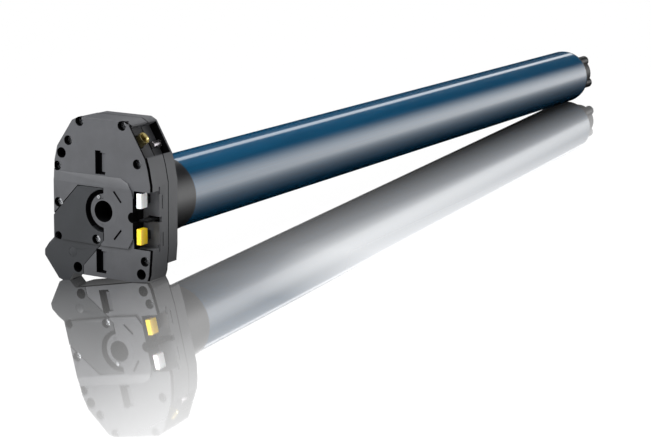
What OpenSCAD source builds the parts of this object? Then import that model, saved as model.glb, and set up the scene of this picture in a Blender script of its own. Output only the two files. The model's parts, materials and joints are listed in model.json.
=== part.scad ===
// Tubular roller blind motor with a manual override in its head.
// X runs along the tube, away from the head. The origin is the middle of the hub's mouth.

/* [Head] */
// Half of the head's width
head_half_w = 35.7; // [35:0.1:39]
// How far the head's middle lies to the left of the tube's axis
head_shift = 2.4; // [2:0.1:3.4]
// Height of the head's top above the tube's axis
head_top = 56; // [54:0.5:60]
// Half of the width of the head's flat top
top_half_w = 16.7; // [15.5:0.1:18]
// Height at which the upper left corner starts
shoulder_z = 37; // [36:0.5:39]
// Distance from the tube's axis down to the head's flat bottom
head_drop = 41.8; // [41:0.1:46]
// How far the raised middle of the front stands proud
plateau_h = 1.2; // [0.8:0.1:1.6]
// Thickness of the front plate
plate_t = 3; // [2.6:0.1:4]
// Depth of the middle housing
mid_t = 16.6; // [16:0.1:20]
// Depth of the rear housing
rear_t = 10; // [9:0.1:12]
// Wall between the rear housing's pockets and its back
rear_wall = 1.5; // [1.2:0.1:2]

/* [Hub and fixings] */
// Bore of the hub
hub_bore_d = 13.4; // [12:0.1:14]
// Outside of the hub ring
hub_d = 21.2; // [20:0.1:22]
// Outside of the crescent groove round the left half of the hub
crescent_d = 26.8; // [25:0.1:28]
// Depth of the hub's blind bore
hub_depth = 14; // [12:0.5:14]
// Holes for the bolts that hold the head to its bracket
fixing_d = 6.6; // [5:0.1:7]
// Circle on which the two fixing holes lie
fixing_pcd = 90.6; // [88:0.1:92]
// Diameter of the housing screws' shanks
screw_d = 2.9; // [2.5:0.1:3.2]
// Diameter of the screws' heads
screw_head_d = 4.6; // [4:0.1:5]

/* [Buttons] */
// Width of a button
button_w = 3.3; // [2.8:0.1:3.6]
// Height of the white button
white_h = 9; // [8:0.1:9.2]
// Height of the yellow button
yellow_h = 9.6; // [9:0.1:10]
// How far a button is pushed in
button_travel = 1.2; // [0.8:0.1:1.3]

/* [Manual override] */
// Teeth of the worm wheel
wheel_teeth = 37; // [36:1:38]
// Module of the worm and its wheel
worm_m = 1; // [0.98:0.01:1.02]
// Pitch diameter of the worm
worm_pitch_d = 10.6; // [10:0.1:11]
// Outside of the brass socket
socket_d = 7.6; // [7:0.1:8.4]
// Width across the flats of the socket's hexagon
socket_hex = 5; // [4.5:0.1:5.4]
// Distance from the worm's middle to the socket's mouth
socket_reach = 45; // [44:0.5:46]
// Thickness of the worm wheel
wheel_t = 5; // [4:0.1:5.4]

/* [Limit ring] */
// How far the limit ring stands proud of the tube
ring_proud = 0.8; // [0.2:0.1:1.6]
// Length of the ring outside the head
ring_len = 34; // [28:0.1:38]
// Outside of the fixed neck that the ring turns on
neck_d = 40; // [39.4:0.1:40.6]
// Teeth cut on the ring's inner end
ring_teeth = 64; // [63:1:64]
// Teeth of the limit pinion
pinion_teeth = 12; // [11:1:13]
// Module of the limit gears
limit_m = 0.7; // [0.69:0.01:0.7]

/* [Motor tube] */
// Outside of the tube
tube_d = 47; // [46.6:0.1:47.6]
// Wall of the tube
tube_wall = 1.5; // [1.2:0.1:2]
// Length of the tube
tube_len = 655.7; // [620:0.1:720]
// Outside of the stub that turns inside the neck
stub_d = 36; // [35.4:0.1:36.4]

/* [Inside the tube] */
// Diameter of the capacitor
cap_d = 32; // [28:0.5:34]
// Length of the capacitor
cap_len = 56; // [50:1:70]
// Length of the stator's stack
stator_len = 100; // [80:1:120]
// Bore of the stator
stator_bore = 25; // [24:0.1:26]
// Air gap round the rotor
air_gap = 0.4; // [0.3:0.05:0.6]
// Diameter of the rotor's shaft
shaft_d = 8; // [7:0.1:9]
// Wall of the planetary gearbox's ring outside its teeth
gear_wall = 3.25; // [3:0.05:3.5]
// Teeth of a sun gear
sun_teeth = 12; // [12:6:18]
// Teeth of a planet gear
planet_teeth = 24; // [18:6:24]
// Width of a planet gear
planet_w = 8; // [6:0.1:9]
// Diameter of a planet's pin
pin_d = 4; // [3:0.1:5]

/* [Drive end] */
// Diameter across the drive wheel's lobes
lobe_span = 38; // [35:0.1:40]
// Diameter of the drive wheel's body
drive_d = 30; // [27:0.1:31]
// Length of the drive wheel
drive_len = 28; // [24:0.1:32]
// Number of lobes
lobes = 4; // [3:1:6]
// Diameter of the output shaft
output_d = 14; // [12:0.1:16]

/* [Hidden] */
$fn = 64;

// Clearances
run = 0.06;
seat = 0.02;
free = 0.3;
face_gap = 0.3;
overcut = 1;

// Stations along the tube
x_plate = plateau_h;
x_mid = x_plate + plate_t;
x_rear = x_mid + mid_t;
x_back = x_rear + rear_t;
x_ring = x_back + 0.5;
x_ring_end = x_ring + ring_len;
x_tube = x_ring_end + face_gap;
x_tube_end = x_tube + tube_len;

// The head's outline, seen from the front with Y to the left
chamfer_in = 2.9;
chamfer_in_right = 3.7;
corner_left_in = 4.5;
corner_right_in = 4;
corner_drop = 2.1;
shoulder_right_z = shoulder_z - 2.4;
foot_in = 4.5;
foot_in_right = 2.5;
foot_rise = 1.4;
foot_bend_z = -36.5;
knee_z = 18.5;
side_low_z = -21.8;
top_left = head_shift + top_half_w;
top_right = head_shift - top_half_w;
function left(d) = head_shift + head_half_w - d;
function right(d) = head_shift - head_half_w + d;
function head_points(d) = [
    [top_left - 0.3 * d, head_top - d],
    [top_left + corner_left_in - 0.8 * d, head_top - corner_drop - 0.8 * d],
    [left(chamfer_in + d), shoulder_z - 0.3 * d],
    [left(0.6 + d), (shoulder_z + knee_z) / 2],
    [left(d), knee_z],
    [left(d), side_low_z],
    [left(foot_in + d), foot_rise - head_drop + d],
    [left(foot_in + 9), d - head_drop],
    [right(foot_in + 9), d - head_drop],
    [right(foot_in_right + d), foot_rise - head_drop + d],
    [right(1.2 + d), foot_bend_z],
    [right(d), side_low_z],
    [right(d), knee_z],
    [right(1.9 + d), (shoulder_right_z + knee_z) / 2 + 2],
    [right(chamfer_in_right + d), shoulder_right_z - 0.3 * d],
    [top_right - corner_right_in + 0.8 * d, head_top - corner_drop - 0.8 * d],
    [top_right + 0.3 * d, head_top - d]
];

// The front plate's rim stands out past its back on the right
rim_front_t = 0.5;
rim_step = 1.1;

// The upper right chamfer, which the override leaves square
chamfer_hi = [top_right - corner_right_in, head_top - corner_drop];
chamfer_lo = [right(chamfer_in_right), shoulder_right_z];
chamfer_len = norm(chamfer_lo - chamfer_hi);
chamfer_along = (chamfer_lo - chamfer_hi) / chamfer_len;
chamfer_angle = atan2(chamfer_along[1], chamfer_along[0]);

// Places of the screws, from the edges that they stand beside
screw_edge = 2.6;
head_t = 1.4;
pocket_d = screw_head_d + 1.4;
head_sunk = 0.2;
cover_head_sunk = 0.8;
plate_screw_at = [
    [top_left - 1, head_top - screw_edge],
    [top_right + 1, head_top - screw_edge],
    [left(11.3), shoulder_z + 3.9],
    [left(screw_edge), shoulder_z - 12.6],
    [right(9.1), shoulder_right_z - 3.4],
    [right(3.9), 13.9 - head_drop]
];
cover_screw_at = [[left(4.1), 2], [5.7, -18.1], [24.5, -28.5]];
hub_screw_at = [4.3, 8.3];
screw_end = x_rear + 5;
cover_screw_end = x_mid + 3.5;

// Fixing holes and slots
fixing_mid = [2.65, -1.65];
fixing_turn = 49.5;
fixing_at = [for (s = [1, -1])
    fixing_mid + s * fixing_pcd / 2 * [cos(fixing_turn), sin(fixing_turn)]];
fixing_deep = x_mid + 8;
side_hole_at = [left(3.6), -19.2];
side_hole_d = 5.4;
cover_hole_at = [20.8, -37.7];
web_hole_at = [-21.4, -1.5];
slot_y = 2.6;
slot_w = 4;
slot_slope = 4.2;
slot_z = [[22.3, 36.8], [-39, -24.2]];
slot_deep = 1.2;
slope_deep = 1.6;

// The cable cover
cover_gap = 0.35;
lobe_out = 8;
lobe_low = -head_drop - 6;
lobe_x = x_mid + 9;
lobe_wall = 1.6;
lobe_points = [
    [left(0), side_low_z + 1.5], [left(-4.6), -24.8], [left(-lobe_out), -29.5],
    [left(-lobe_out), -33], [left(2.6), lobe_low + 1.3], [left(6.8), lobe_low],
    [left(10.6), lobe_low + 0.6], [left(14.6), 1 - head_drop]
];

// The cable's way in and its socket
inlet_y = [27, 34];
plateau_top = 21.5;
slope_h = 6;
slope_step = 0.2;
inlet_x = [x_mid, x_mid + 6.5];
socket_z = [-13.5, -0.5];
socket_y = [25.5, left(2.2)];

// Buttons and their bay, which is open to the right
bay_y = -21.6;
bay_z = [-20.9, 14.7];
bay_x = x_mid + 7.1;
bay_wall = 1.5;
bay_notch = 2.2;
web_z = [-3.8, -2.4];
web_slot_z = [-5, -1.6];
web_in = -25.2;
button_out = -26.8;
button_x = x_plate + 0.2;
button_end = button_x + 6.5;
white_z = 8.8;
yellow_z = -13.3;
foot_y = [button_out + 0.4, button_out + button_w - 0.4];
foot_h = 5;
foot_in_block = 2.4;
block_y = [right(1.9), bay_y - 0.2];
block_z = [-19.5, 15.5];
block_x = [bay_x + bay_wall + seat, x_rear - 0.4];
web_hole_deep = x_mid + 3;
latch_w = 0.8;
latch_x = [14, 14.6];
latch_z = [[3, 11.5], [-20.5, -11.5]];

// Worm and wheel, whose shafts cross square
wheel_pitch_r = wheel_teeth * worm_m / 2;
worm_r = worm_pitch_d / 2;
worm_mid = wheel_pitch_r + worm_r;
worm_turn = 53.9;
worm_dir = [-sin(worm_turn), cos(worm_turn)];
wheel_x = [x_mid + 5.3, x_mid + 5.3 + wheel_t];
worm_x = (wheel_x[0] + wheel_x[1]) / 2;
wheel_slack = 0.5;
worm_len = 13;
worm_shaft_d = 5;
worm_bush_d = 8;
worm_bush_len = 4;
wheel_space = wheel_pitch_r + worm_m + 0.8;
wheel_seat_d = 26;
socket_len = 15;
pocket_x = x_back - rear_wall;
pocket_in = 9;
ledge_in = 3;
pocket_margin = 0.8;
ledge_len = 2;
pin_dia = 4.7;
pin_at = [-21, 39.6];
thread_steps = 20;
thread_turns = 3.5;
thread_root = worm_r - 1.2 * worm_m;
worm_phase = 75;
wheel_phase = 0.7215;
clip_t = 1.2;

// Hub
hub_r = hub_d / 2;
rim_t = 0.9;
half_ring_deep = 1.6;
bush_end = hub_depth + 2;
bush_tail_d = 19;

// Neck and limit ring
neck_r = neck_d / 2;
neck_end = x_ring_end - 1.5;
neck_web = 2.4;
ring_in_r = neck_r + run;
ring_d = tube_d + ring_proud;
ring_gear_r = ring_teeth * limit_m / 2;
ring_tip_r = ring_gear_r + limit_m;
ring_gear_x = [x_rear + neck_web + face_gap, x_back - rear_wall - face_gap];
pinion_r = pinion_teeth * limit_m / 2;
pinion_mid = ring_gear_r + pinion_r + 0.1;
pinion_turn = 180;
pinion_shaft_d = 2.4;
ring_space = ring_tip_r + 0.4;
gear_slack = 0.25;

// Stub and what it carries
stub_bore = 28;
stub_r = stub_d / 2;
tube_r = tube_d / 2;
tube_in = tube_r - tube_wall;
plug_d = 2 * (tube_in - 0.05);
plug_len = 14;

// Stations inside the tube, counted back from its far end
bush_len = 20;
bush_flange = 2.4;
x_gear_end = x_tube_end - bush_len - 6;
stage_pitch = planet_w + 9;
x_flat = x_tube_end + 3;
x_shaft_end = x_tube_end + drive_len;
x_drive = x_tube_end + bush_flange + 0.5;
x_drive_end = x_shaft_end + 2.5;
lobe_r = 4.6;
lobe_turn = 33;
flat_half = output_d / 2 - 2;
drive_screw_d = 4;
x_gear = x_gear_end - 3 * stage_pitch - 4;
bell_t = 12;
x_stator_end = x_gear - bell_t;
x_stator = x_stator_end - stator_len;
x_bell = x_stator - bell_t;
brake_len = 38;
x_brake = x_bell - brake_len;
x_cap = x_tube + plug_len + 40;
cap_base = 4;
bearing_d = 19;
bearing_w = 4;
end_turn = 8;
slots = 12;
slot_r = 2.4;
slot_ring = (tube_in + stator_bore / 2) / 2 - 1.05;

// Planetary stages
ring_gear_teeth = sun_teeth + 2 * planet_teeth;
gear_m = (tube_in - gear_wall) / (ring_gear_teeth / 2 + 1.25);
sun_r = sun_teeth * gear_m / 2;
planet_r = planet_teeth * gear_m / 2;
gear_mid = sun_r + planet_r;
ring_r = ring_gear_teeth * gear_m / 2;
carrier_t = 5;
carrier_r = ring_r - 1.6;
planet_start = 1.2;
planet_phase = 180 / planet_teeth;
planet_gap = 0.2;
sun_neck_r = sun_r - 1.3 * gear_m;
function stage_x(i) = x_gear + 2 + i * stage_pitch;
function planet_x(i) = stage_x(i) + planet_start;
function carrier_x(i) = planet_x(i) + planet_w + 0.8;

plastic = [0.27, 0.27, 0.29];
dark_plastic = [0.2, 0.205, 0.215];
black = [0.1, 0.1, 0.105];
blue = [0.1, 0.3, 0.47];
steel = [0.62, 0.63, 0.65];
brass = [0.72, 0.6, 0.33];
copper = [0.66, 0.36, 0.2];
zinc = [0.5, 0.5, 0.52];
white = [0.93, 0.93, 0.92];
yellow = [0.93, 0.74, 0.17];

// Outlines drawn in the YZ plane and drawn out along X
module along_x(x0, x1) {
    translate([x0, 0, 0]) rotate([90, 0, 90]) linear_extrude(x1 - x0) children();
}

module rod(x0, x1, d) {
    translate([x0, 0, 0]) rotate([0, 90, 0]) cylinder(h = x1 - x0, d = d);
}

module tube(x0, x1, d, bore) {
    difference() {
        rod(x0, x1, d);
        rod(x0 - overcut, x1 + overcut, bore);
    }
}

module rod_at(p, x0, x1, d) {
    translate([0, p[0], p[1]]) rod(x0, x1, d);
}

module box(x, y, z) {
    translate([x[0], y[0], z[0]]) cube([x[1] - x[0], y[1] - y[0], z[1] - z[0]]);
}

// A gear's outline: each flank runs through the root, the pitch circle and the tip
function involute(a) = tan(a) - a * PI / 180;
function flank(teeth, m, r, slack) =
    let (rp = teeth * m / 2, rb = rp * cos(20), a = r > rb ? acos(rb / r) : 0)
    (90 / teeth) + (involute(20) - involute(a)) * 180 / PI - slack / rp * 90 / PI;

function gear_points(teeth, m, slack) = [
    for (i = [0:teeth - 1])
        let (rp = teeth * m / 2, rr = [rp - 1.25 * m, rp, rp + m], mid = 360 * i / teeth)
        for (s = [-1, 1])
            for (k = s < 0 ? [0, 1, 2] : [2, 1, 0])
                let (r = rr[k], a = mid + s * flank(teeth, m, r, slack))
                [r * cos(a), r * sin(a)]
];

// The hollow of an internal gear: its teeth stand inwards, the first on the Y axis
function ring_points(teeth, m, slack) = [
    for (i = [0:teeth - 1])
        let (rp = teeth * m / 2, rr = [rp - m, rp, rp + 1.25 * m], mid = 360 * (i + 0.5) / teeth)
        for (s = [-1, 1])
            for (k = s < 0 ? [0, 1, 2] : [2, 1, 0])
                let (r = rr[k], a = mid + s * flank(teeth, m, r, -slack))
                [r * cos(a), r * sin(a)]
];

// Front plate, with its screw holes, slots, fixing holes and button bay
module cover_screw_hole(p) {
    rod_at(p, -overcut, x_plate + cover_head_sunk + head_t, pocket_d);
    rod_at(p, 0, screw_end, screw_d + 2 * seat);
}

// A slot with one steep side and one sloped side that catches the light
module head_slot(z) {
    deep = x_mid + slot_deep;
    box([-overcut, deep], [slot_y, slot_y + slot_w], z);
    box([-overcut, deep - 1], [slot_y - slot_slope + 1, slot_y + 0.5], [z[0], z[0] + 1.6]);
    translate([0, 0, z[0] + 1]) linear_extrude(z[1] - z[0] - 2)
        polygon([[x_plate + slope_deep, slot_y], [x_plate + slope_deep, slot_y + 1],
            [-overcut, slot_y + 1],
            [-overcut, slot_y - slot_slope * (x_plate + slope_deep + overcut) / slope_deep]]);
}

module cover_shape(gap) {
    polygon([
        [left(-2), -6 + gap], [left(0), -6 + gap], [19.3 - 0.4 * gap, 14.1 + gap],
        [0.2 - gap, 14.1 + gap], [0.2 - gap, -17.8 - 0.5 * gap],
        [16.6 - gap, -35.9], [16.6 - gap, -head_drop - 3], [left(-2), -head_drop - 3]
    ]);
}

module plateau() {
    difference() {
        along_x(0, x_plate + overcut / 2)
            polygon([
                [left(0.6), plateau_top], [-12, plateau_top], [-17.5, plateau_top - 2.5],
                [-20.6, plateau_top - 7], [-22, plateau_top - 13], [-22, -14],
                [-18, -21], [0, -21.5], [left(0.6), -19]
            ]);
        // The sloped upper edge that catches the light
        translate([0, 0, plateau_top - slope_h])
            rotate([0, atan2(plateau_h - slope_step, slope_h), 0])
                translate([-4, -50, 0]) cube([4, 100, 2 * slope_h]);
    }
}

module button_bay() {
    box([-overcut, bay_x], [right(-3), bay_y], bay_z);
}

module front_plate() {
    color(plastic) difference() {
        union() {
            along_x(x_plate, x_plate + rim_front_t) polygon(head_points(0));
            along_x(x_plate + rim_front_t / 2, x_mid) intersection() {
                polygon(head_points(0));
                translate([rim_step, 0]) polygon(head_points(0));
            }
            plateau();
        }
        rod(-overcut, x_mid + overcut, hub_d + 2 * seat);
        along_x(-overcut, x_mid + overcut) intersection() {
            circle(d = crescent_d);
            translate([0, -crescent_d]) square([crescent_d, 2 * crescent_d]);
        }
        along_x(-overcut, x_mid + overcut) cover_shape(cover_gap);
        for (p = plate_screw_at) rod_at(p, -overcut, x_mid + overcut, pocket_d);
        for (p = cover_screw_at) cover_screw_hole(p);
        for (p = fixing_at) rod_at(p, -overcut, x_mid + overcut, fixing_d);
        rod_at(web_hole_at, -overcut, x_mid + overcut, fixing_d);
        for (z = slot_z) head_slot(z);
        button_bay();
        for (s = [-1, 1])
            translate([0, -10.4, s > 0 ? 10 : -13.4]) rotate([s * 50, 0, 0])
                box([-overcut, 0.8], [-4.2, 4.2], [-0.6, 0.6]);
    }
}

// Cable cover: a flat plate with a hollow lobe that hoods the cable's way out
module cable_cover() {
    color(dark_plastic) difference() {
        union() {
            along_x(x_plate, x_mid) intersection() {
                polygon(head_points(0));
                cover_shape(0);
            }
            along_x(0, x_plate + 0.5)
                polygon([[left(0.3), -6.3], [19.3, 13.7], [12, 14.1], [0.4, 14.1], [0.4, -18.3],
                    [3.3, -21.4], [left(0.3), -21]]);
            along_x(x_plate, lobe_x) polygon(lobe_points);
        }
        along_x(x_mid, lobe_x + overcut) polygon(head_points(-free));
        box([x_mid, lobe_x - lobe_wall], inlet_y, [lobe_low - overcut, -head_drop + 1]);
        rod(-overcut, x_mid + overcut, crescent_d);
        along_x(-overcut, x_mid + overcut)
            translate([-crescent_d, -crescent_d]) square([crescent_d + 0.2, 2 * crescent_d]);
        for (p = cover_screw_at) cover_screw_hole(p);
        rod_at(side_hole_at, -overcut, x_mid + overcut, side_hole_d);
        rod_at(cover_hole_at, -overcut, x_mid + overcut, fixing_d);
        for (z = slot_z) head_slot(z);
    }
}

// Middle housing, with room for the worm, the wheel, the switches and the cable socket
module worm_frame() {
    translate([worm_x, worm_mid * worm_dir[1], worm_mid * -worm_dir[0]])
        rotate([atan2(-worm_dir[0], worm_dir[1]), 0, 0]) children();
}

module worm_room() {
    worm_frame() {
        translate([0, 0, -worm_len / 2 - 1]) cylinder(h = worm_len + 2, d = worm_pitch_d + 3.2);
        translate([0, 0, -worm_len / 2 - 1 - worm_bush_len])
            cylinder(h = worm_len + 2 + 2 * worm_bush_len, d = worm_bush_d + 2 * seat);
        cylinder(h = socket_reach, d = socket_d + 1);
        translate([0, 0, -worm_len / 2 - worm_bush_len - 3]) cylinder(h = 10, d = worm_shaft_d + 1);
    }
}

module pocket_block(x0, x1) {
    translate([0, chamfer_hi[0], chamfer_hi[1]]) rotate([chamfer_angle, 0, 0])
        union() {
            box([x0, x1], [pocket_margin, chamfer_len - pocket_margin - ledge_len], [-pocket_in, 6]);
            box([x0, x1], [pocket_margin, chamfer_len - pocket_margin], [-ledge_in, 6]);
        }
}

// The housing's wall behind the buttons, open where their feet and the web pass
module bay_openings() {
    x = [bay_x - overcut, block_x[0] + overcut];
    for (z = [white_z, yellow_z])
        box(x, [foot_y[0] - free, foot_y[1] + button_travel + free],
            [z - foot_h / 2 - free, z + foot_h / 2 + free]);
    box(x, [right(-3), web_in + free], web_slot_z);
    for (z = bay_z)
        box([bay_x - 0.6, bay_x + 0.8], [right(-3), right(1.2)], [z - bay_notch, z + bay_notch]);
}

module mid_housing() {
    color(plastic) difference() {
        along_x(x_mid, x_rear) polygon(head_points(0));
        rod(x_mid - overcut, x_rear + overcut, bush_tail_d + 2 * seat);
        rod(wheel_x[0] - 2.7, x_rear + overcut, wheel_seat_d + 2);
        rod(cover_screw_end + 0.3, x_rear + overcut, 2 * wheel_space);
        worm_room();
        pocket_block(x_mid - overcut, x_rear + overcut);
        button_bay();
        bay_openings();
        box([block_x[0] - seat, x_rear + overcut], block_y + [-seat, seat], block_z + [-seat, seat]);
        for (i = [0, 1])
            box([latch_x[i], latch_x[i] + latch_w], [right(-3), right(latch_w)], latch_z[i]);
        rod_at(web_hole_at, x_mid - overcut, web_hole_deep, fixing_d);
        box([x_mid - overcut, inlet_x[1]], inlet_y, [-head_drop - overcut, socket_z[0]]);
        box([x_mid - overcut, x_rear - 2.5], socket_y + [-seat, seat], socket_z + [-seat, seat]);
        for (p = plate_screw_at) {
            rod_at(p, x_mid - 1, x_mid + head_sunk + head_t, screw_head_d + 2 * seat);
            rod_at(p, x_mid - 1, x_rear + 1, screw_d + 2 * seat);
        }
        for (p = cover_screw_at)
            rod_at(p, x_mid - 1, cover_screw_end + seat, screw_d + 2 * seat);
        for (p = fixing_at) rod_at(p, x_mid - 1, fixing_deep, fixing_d);
        rod_at(side_hole_at, x_mid - 1, x_mid + 6, side_hole_d);
        rod_at(cover_hole_at, x_mid - 1, x_mid + 6, fixing_d);
        for (z = slot_z) head_slot(z);
    }
}

// Rear housing, whose neck carries the limit ring outside and the stub inside
module rear_housing() {
    rear_low = -32.3;
    color(plastic) difference() {
        union() {
            intersection() {
                along_x(x_rear, x_back) polygon(head_points(0.2));
                box([x_rear, x_back], [-60, 60], [rear_low, 70]);
            }
            rod(x_rear, neck_end, neck_d);
        }
        rod(x_rear - overcut, neck_end + overcut, stub_d + 2 * run);
        difference() {
            rod(ring_gear_x[0] - face_gap, x_back + overcut, 2 * ring_space);
            rod(x_rear, neck_end, neck_d);
        }
        rotate([pinion_turn, 0, 0]) {
            translate([0, pinion_mid, 0])
                rod(ring_gear_x[0] - face_gap, x_back - rear_wall, 2 * (pinion_r + limit_m + 0.4));
            rod_at([pinion_mid, 0], x_rear - 1, x_back - rear_wall / 3, pinion_shaft_d + 2 * run);
        }
        worm_room();
        pocket_block(x_rear - overcut, pocket_x);
        for (p = plate_screw_at) rod_at(p, x_rear - 1, screw_end + 1, screw_d + 2 * seat);
        rod_at(pin_at, x_rear, x_back - 0.5, pin_dia + 2 * seat);
    }
}

// Hub: the ring round the bore, with its left half set back inside a thin rim
module hub_bush() {
    color(plastic) difference() {
        union() {
            rod(0, x_mid, hub_d);
            rod(x_mid - 0.5, bush_end, bush_tail_d);
        }
        rod(-overcut, hub_depth, hub_bore_d);
        along_x(-overcut, half_ring_deep) difference() {
            translate([0, -hub_d]) square([hub_d, 2 * hub_d]);
            circle(d = hub_bore_d + 2 * rim_t);
        }
        rod_at(hub_screw_at, half_ring_deep - 1, half_ring_deep + 1.5, 2.6);
    }
}

// Screws
module cross_screw(p, x0, d, head_d, x_end) {
    difference() {
        union() {
            rod_at(p, x0, x0 + head_t, head_d);
            rod_at(p, x0 + 1, x_end, d);
        }
        for (a = [45, 135])
            translate([0, p[0], p[1]]) rotate([a, 0, 0])
                box([x0 - overcut, x0 + 0.7], [-head_d / 3, head_d / 3], [-0.4, 0.4]);
    }
}

module plate_screws() {
    color(steel) for (p = plate_screw_at)
        cross_screw(p, x_mid + head_sunk, screw_d, screw_head_d, screw_end);
}

module cover_screws() {
    color(steel) for (p = cover_screw_at)
        cross_screw(p, x_plate + cover_head_sunk, screw_d, screw_head_d, cover_screw_end);
}

module hub_screw() {
    color(steel) cross_screw(hub_screw_at, half_ring_deep - 0.8, 2.5, 2.5, half_ring_deep + 1.5);
}

// Cable socket and its contacts
module power_socket() {
    color(black) difference() {
        box([x_mid + face_gap, x_rear - 2.5], socket_y, socket_z);
        box([x_mid + 1.5, x_rear - 4], [inlet_y[0], inlet_y[1]], [socket_z[0] - 1, socket_z[1] - 5]);
    }
}

module socket_pins() {
    color(brass) for (i = [0:3])
        translate([x_mid + 3 + 3.6 * floor(i / 2), inlet_y[0] + 2 + 3 * (i % 2), socket_z[0] + 2])
            cylinder(h = socket_z[1] - 5 - socket_z[0] - 2, d = 1.4);
}

// Switch block behind the buttons, with the web that parts them
module switch_block() {
    color(black) difference() {
        union() {
            box(block_x, block_y, block_z);
            box([button_x + 0.2, block_x[0] + 0.5], [block_y[0], web_in], web_z);
        }
        for (z = [white_z, yellow_z])
            box([block_x[0] - 1, block_x[0] + foot_in_block + free],
                [foot_y[0] - free, foot_y[1] + button_travel + free],
                [z - foot_h / 2 - run, z + foot_h / 2 + run]);
        rod_at([-pinion_mid, 0], block_x[1] - 2.5, block_x[1] + 1, pinion_shaft_d + 2 * run);
    }
}

module button(z, h, tint) {
    corner = 0.7;
    color(tint) {
        difference() {
            translate([0, 0, z - h / 2]) linear_extrude(h) union() {
                translate([button_x, button_out + corner])
                    square([button_end - button_x, button_w - corner]);
                translate([button_x + corner, button_out])
                    square([button_end - button_x - corner, button_w]);
                translate([button_x + corner, button_out + corner]) circle(r = corner, $fn = 32);
            }
            for (s = [-1, 1])
                translate([button_x - 0.25, button_out + button_w / 2 + 0.6 * s, z - h / 2 - 1])
                    cylinder(h = h + 2, d = 0.8, $fn = 24);
        }
        box([button_end - 0.5, block_x[0] + foot_in_block], foot_y, [z - foot_h / 2, z + foot_h / 2]);
    }
}

module white_button() {
    button(white_z, white_h, white);
}

module yellow_button() {
    button(yellow_z, yellow_h, yellow);
}

// Steel pin beside the socket, held in the rear housing's wall
module retaining_pin() {
    color(steel) rod_at(pin_at, x_rear + 0.2, x_back - 0.5, pin_dia);
}

// Manual override: a hexagon socket on a worm that turns the tube
module worm_bushes() {
    color(brass) for (s = [0, 1])
        worm_frame() translate([0, 0, s > 0 ? worm_len / 2 + 1 : -worm_len / 2 - 1 - worm_bush_len])
            difference() {
                cylinder(h = worm_bush_len, d = worm_bush_d);
                translate([0, 0, -1]) cylinder(h = worm_bush_len + 2, d = worm_shaft_d + 2 * run);
            }
}

module override_socket() {
    color(brass) worm_frame() translate([0, 0, socket_reach - socket_len]) difference() {
        cylinder(h = socket_len, d = socket_d);
        translate([0, 0, 4]) cylinder(h = socket_len, d = socket_hex / cos(30), $fn = 6);
        translate([0, 0, socket_len - 1.6])
            cylinder(h = 1.7, d1 = socket_hex, d2 = socket_d - 1, $fn = 48);
        translate([0, 0, -1]) cylinder(h = 3.5, d = worm_shaft_d + 2 * seat);
    }
}

// The thread is one unbroken tube of four sides, wound round the core
function thread_ring(a) =
    let (z = (a / 360 - thread_turns / 2) * worm_m * PI, w = worm_m)
    [for (q = [[thread_root, 0.7], [worm_r + worm_m, 0.2], [worm_r + worm_m, -0.2],
        [thread_root, -0.7]])
        [q[0] * cos(a), q[0] * sin(a), z + q[1] * w]];
thread_rings = [for (i = [0:thread_steps * thread_turns]) thread_ring(i * 360 / thread_steps)];

module worm_thread() {
    last = len(thread_rings) - 1;
    points = [for (r = thread_rings) for (p = r) p];
    sides = [for (i = [0:last - 1]) for (k = [0:3])
        let (a = 4 * i + k, b = 4 * i + (k + 1) % 4) each [[a, a + 4, b], [b, a + 4, b + 4]]];
    ends = [[0, 1, 2], [0, 2, 3], [4 * last, 4 * last + 2, 4 * last + 1],
        [4 * last, 4 * last + 3, 4 * last + 2]];
    polyhedron(points, concat(sides, ends), convexity = 6);
}

module override_worm() {
    color(steel) worm_frame() {
        cylinder(h = worm_len, d = 2 * thread_root + 0.2, center = true);
        rotate([0, 0, worm_phase]) worm_thread();
        translate([0, 0, -worm_len / 2 - worm_bush_len - 2])
            cylinder(h = worm_len / 2 + worm_bush_len + socket_reach - socket_len + 4.3,
                d = worm_shaft_d);
    }
}

module worm_wheel() {
    color(brass) difference() {
        along_x(wheel_x[0], wheel_x[1])
            rotate(worm_turn - wheel_phase * 360 / wheel_teeth)
                polygon(gear_points(wheel_teeth, worm_m, wheel_slack));
        rod(wheel_x[0] - 1, wheel_x[1] + 1, wheel_seat_d + 2 * seat);
    }
}

module wheel_clip() {
    color(steel) tube(wheel_x[0] - clip_t, wheel_x[0], wheel_seat_d + 4, wheel_seat_d - 2 + 2 * seat);
}

// Limit ring and the pinion that counts its turns
module limit_ring() {
    color(black) difference() {
        union() {
            rod(x_ring, x_ring_end, ring_d);
            along_x(ring_gear_x[0], x_ring + 0.5)
                circle(r = ring_gear_r - 1.25 * limit_m);
            along_x(ring_gear_x[0], ring_gear_x[1])
                polygon(gear_points(ring_teeth, limit_m, gear_slack));
        }
        rod(ring_gear_x[0] - 1, x_ring_end + 1, 2 * ring_in_r);
        // Keyway for the adapter that ties the ring to the roller tube
        rotate([-78, 0, 0]) box([x_ring_end - 15, x_ring_end + 1], [-2, 2],
            [ring_d / 2 - 1.4, ring_d / 2 + 2]);
    }
}

module limit_pinion() {
    color(white) rotate([pinion_turn, 0, 0]) translate([0, pinion_mid, 0]) {
        rotate([180 / pinion_teeth + 180, 0, 0]) along_x(ring_gear_x[0], ring_gear_x[1])
            polygon(gear_points(pinion_teeth, limit_m, gear_slack));
        rod(block_x[1] - 2.2, x_back - rear_wall / 2, pinion_shaft_d);
    }
}

// Motor tube and the stub that carries it in the head
module motor_tube() {
    color(blue) tube(x_tube, x_tube_end, tube_d, 2 * tube_in);
}

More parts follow.
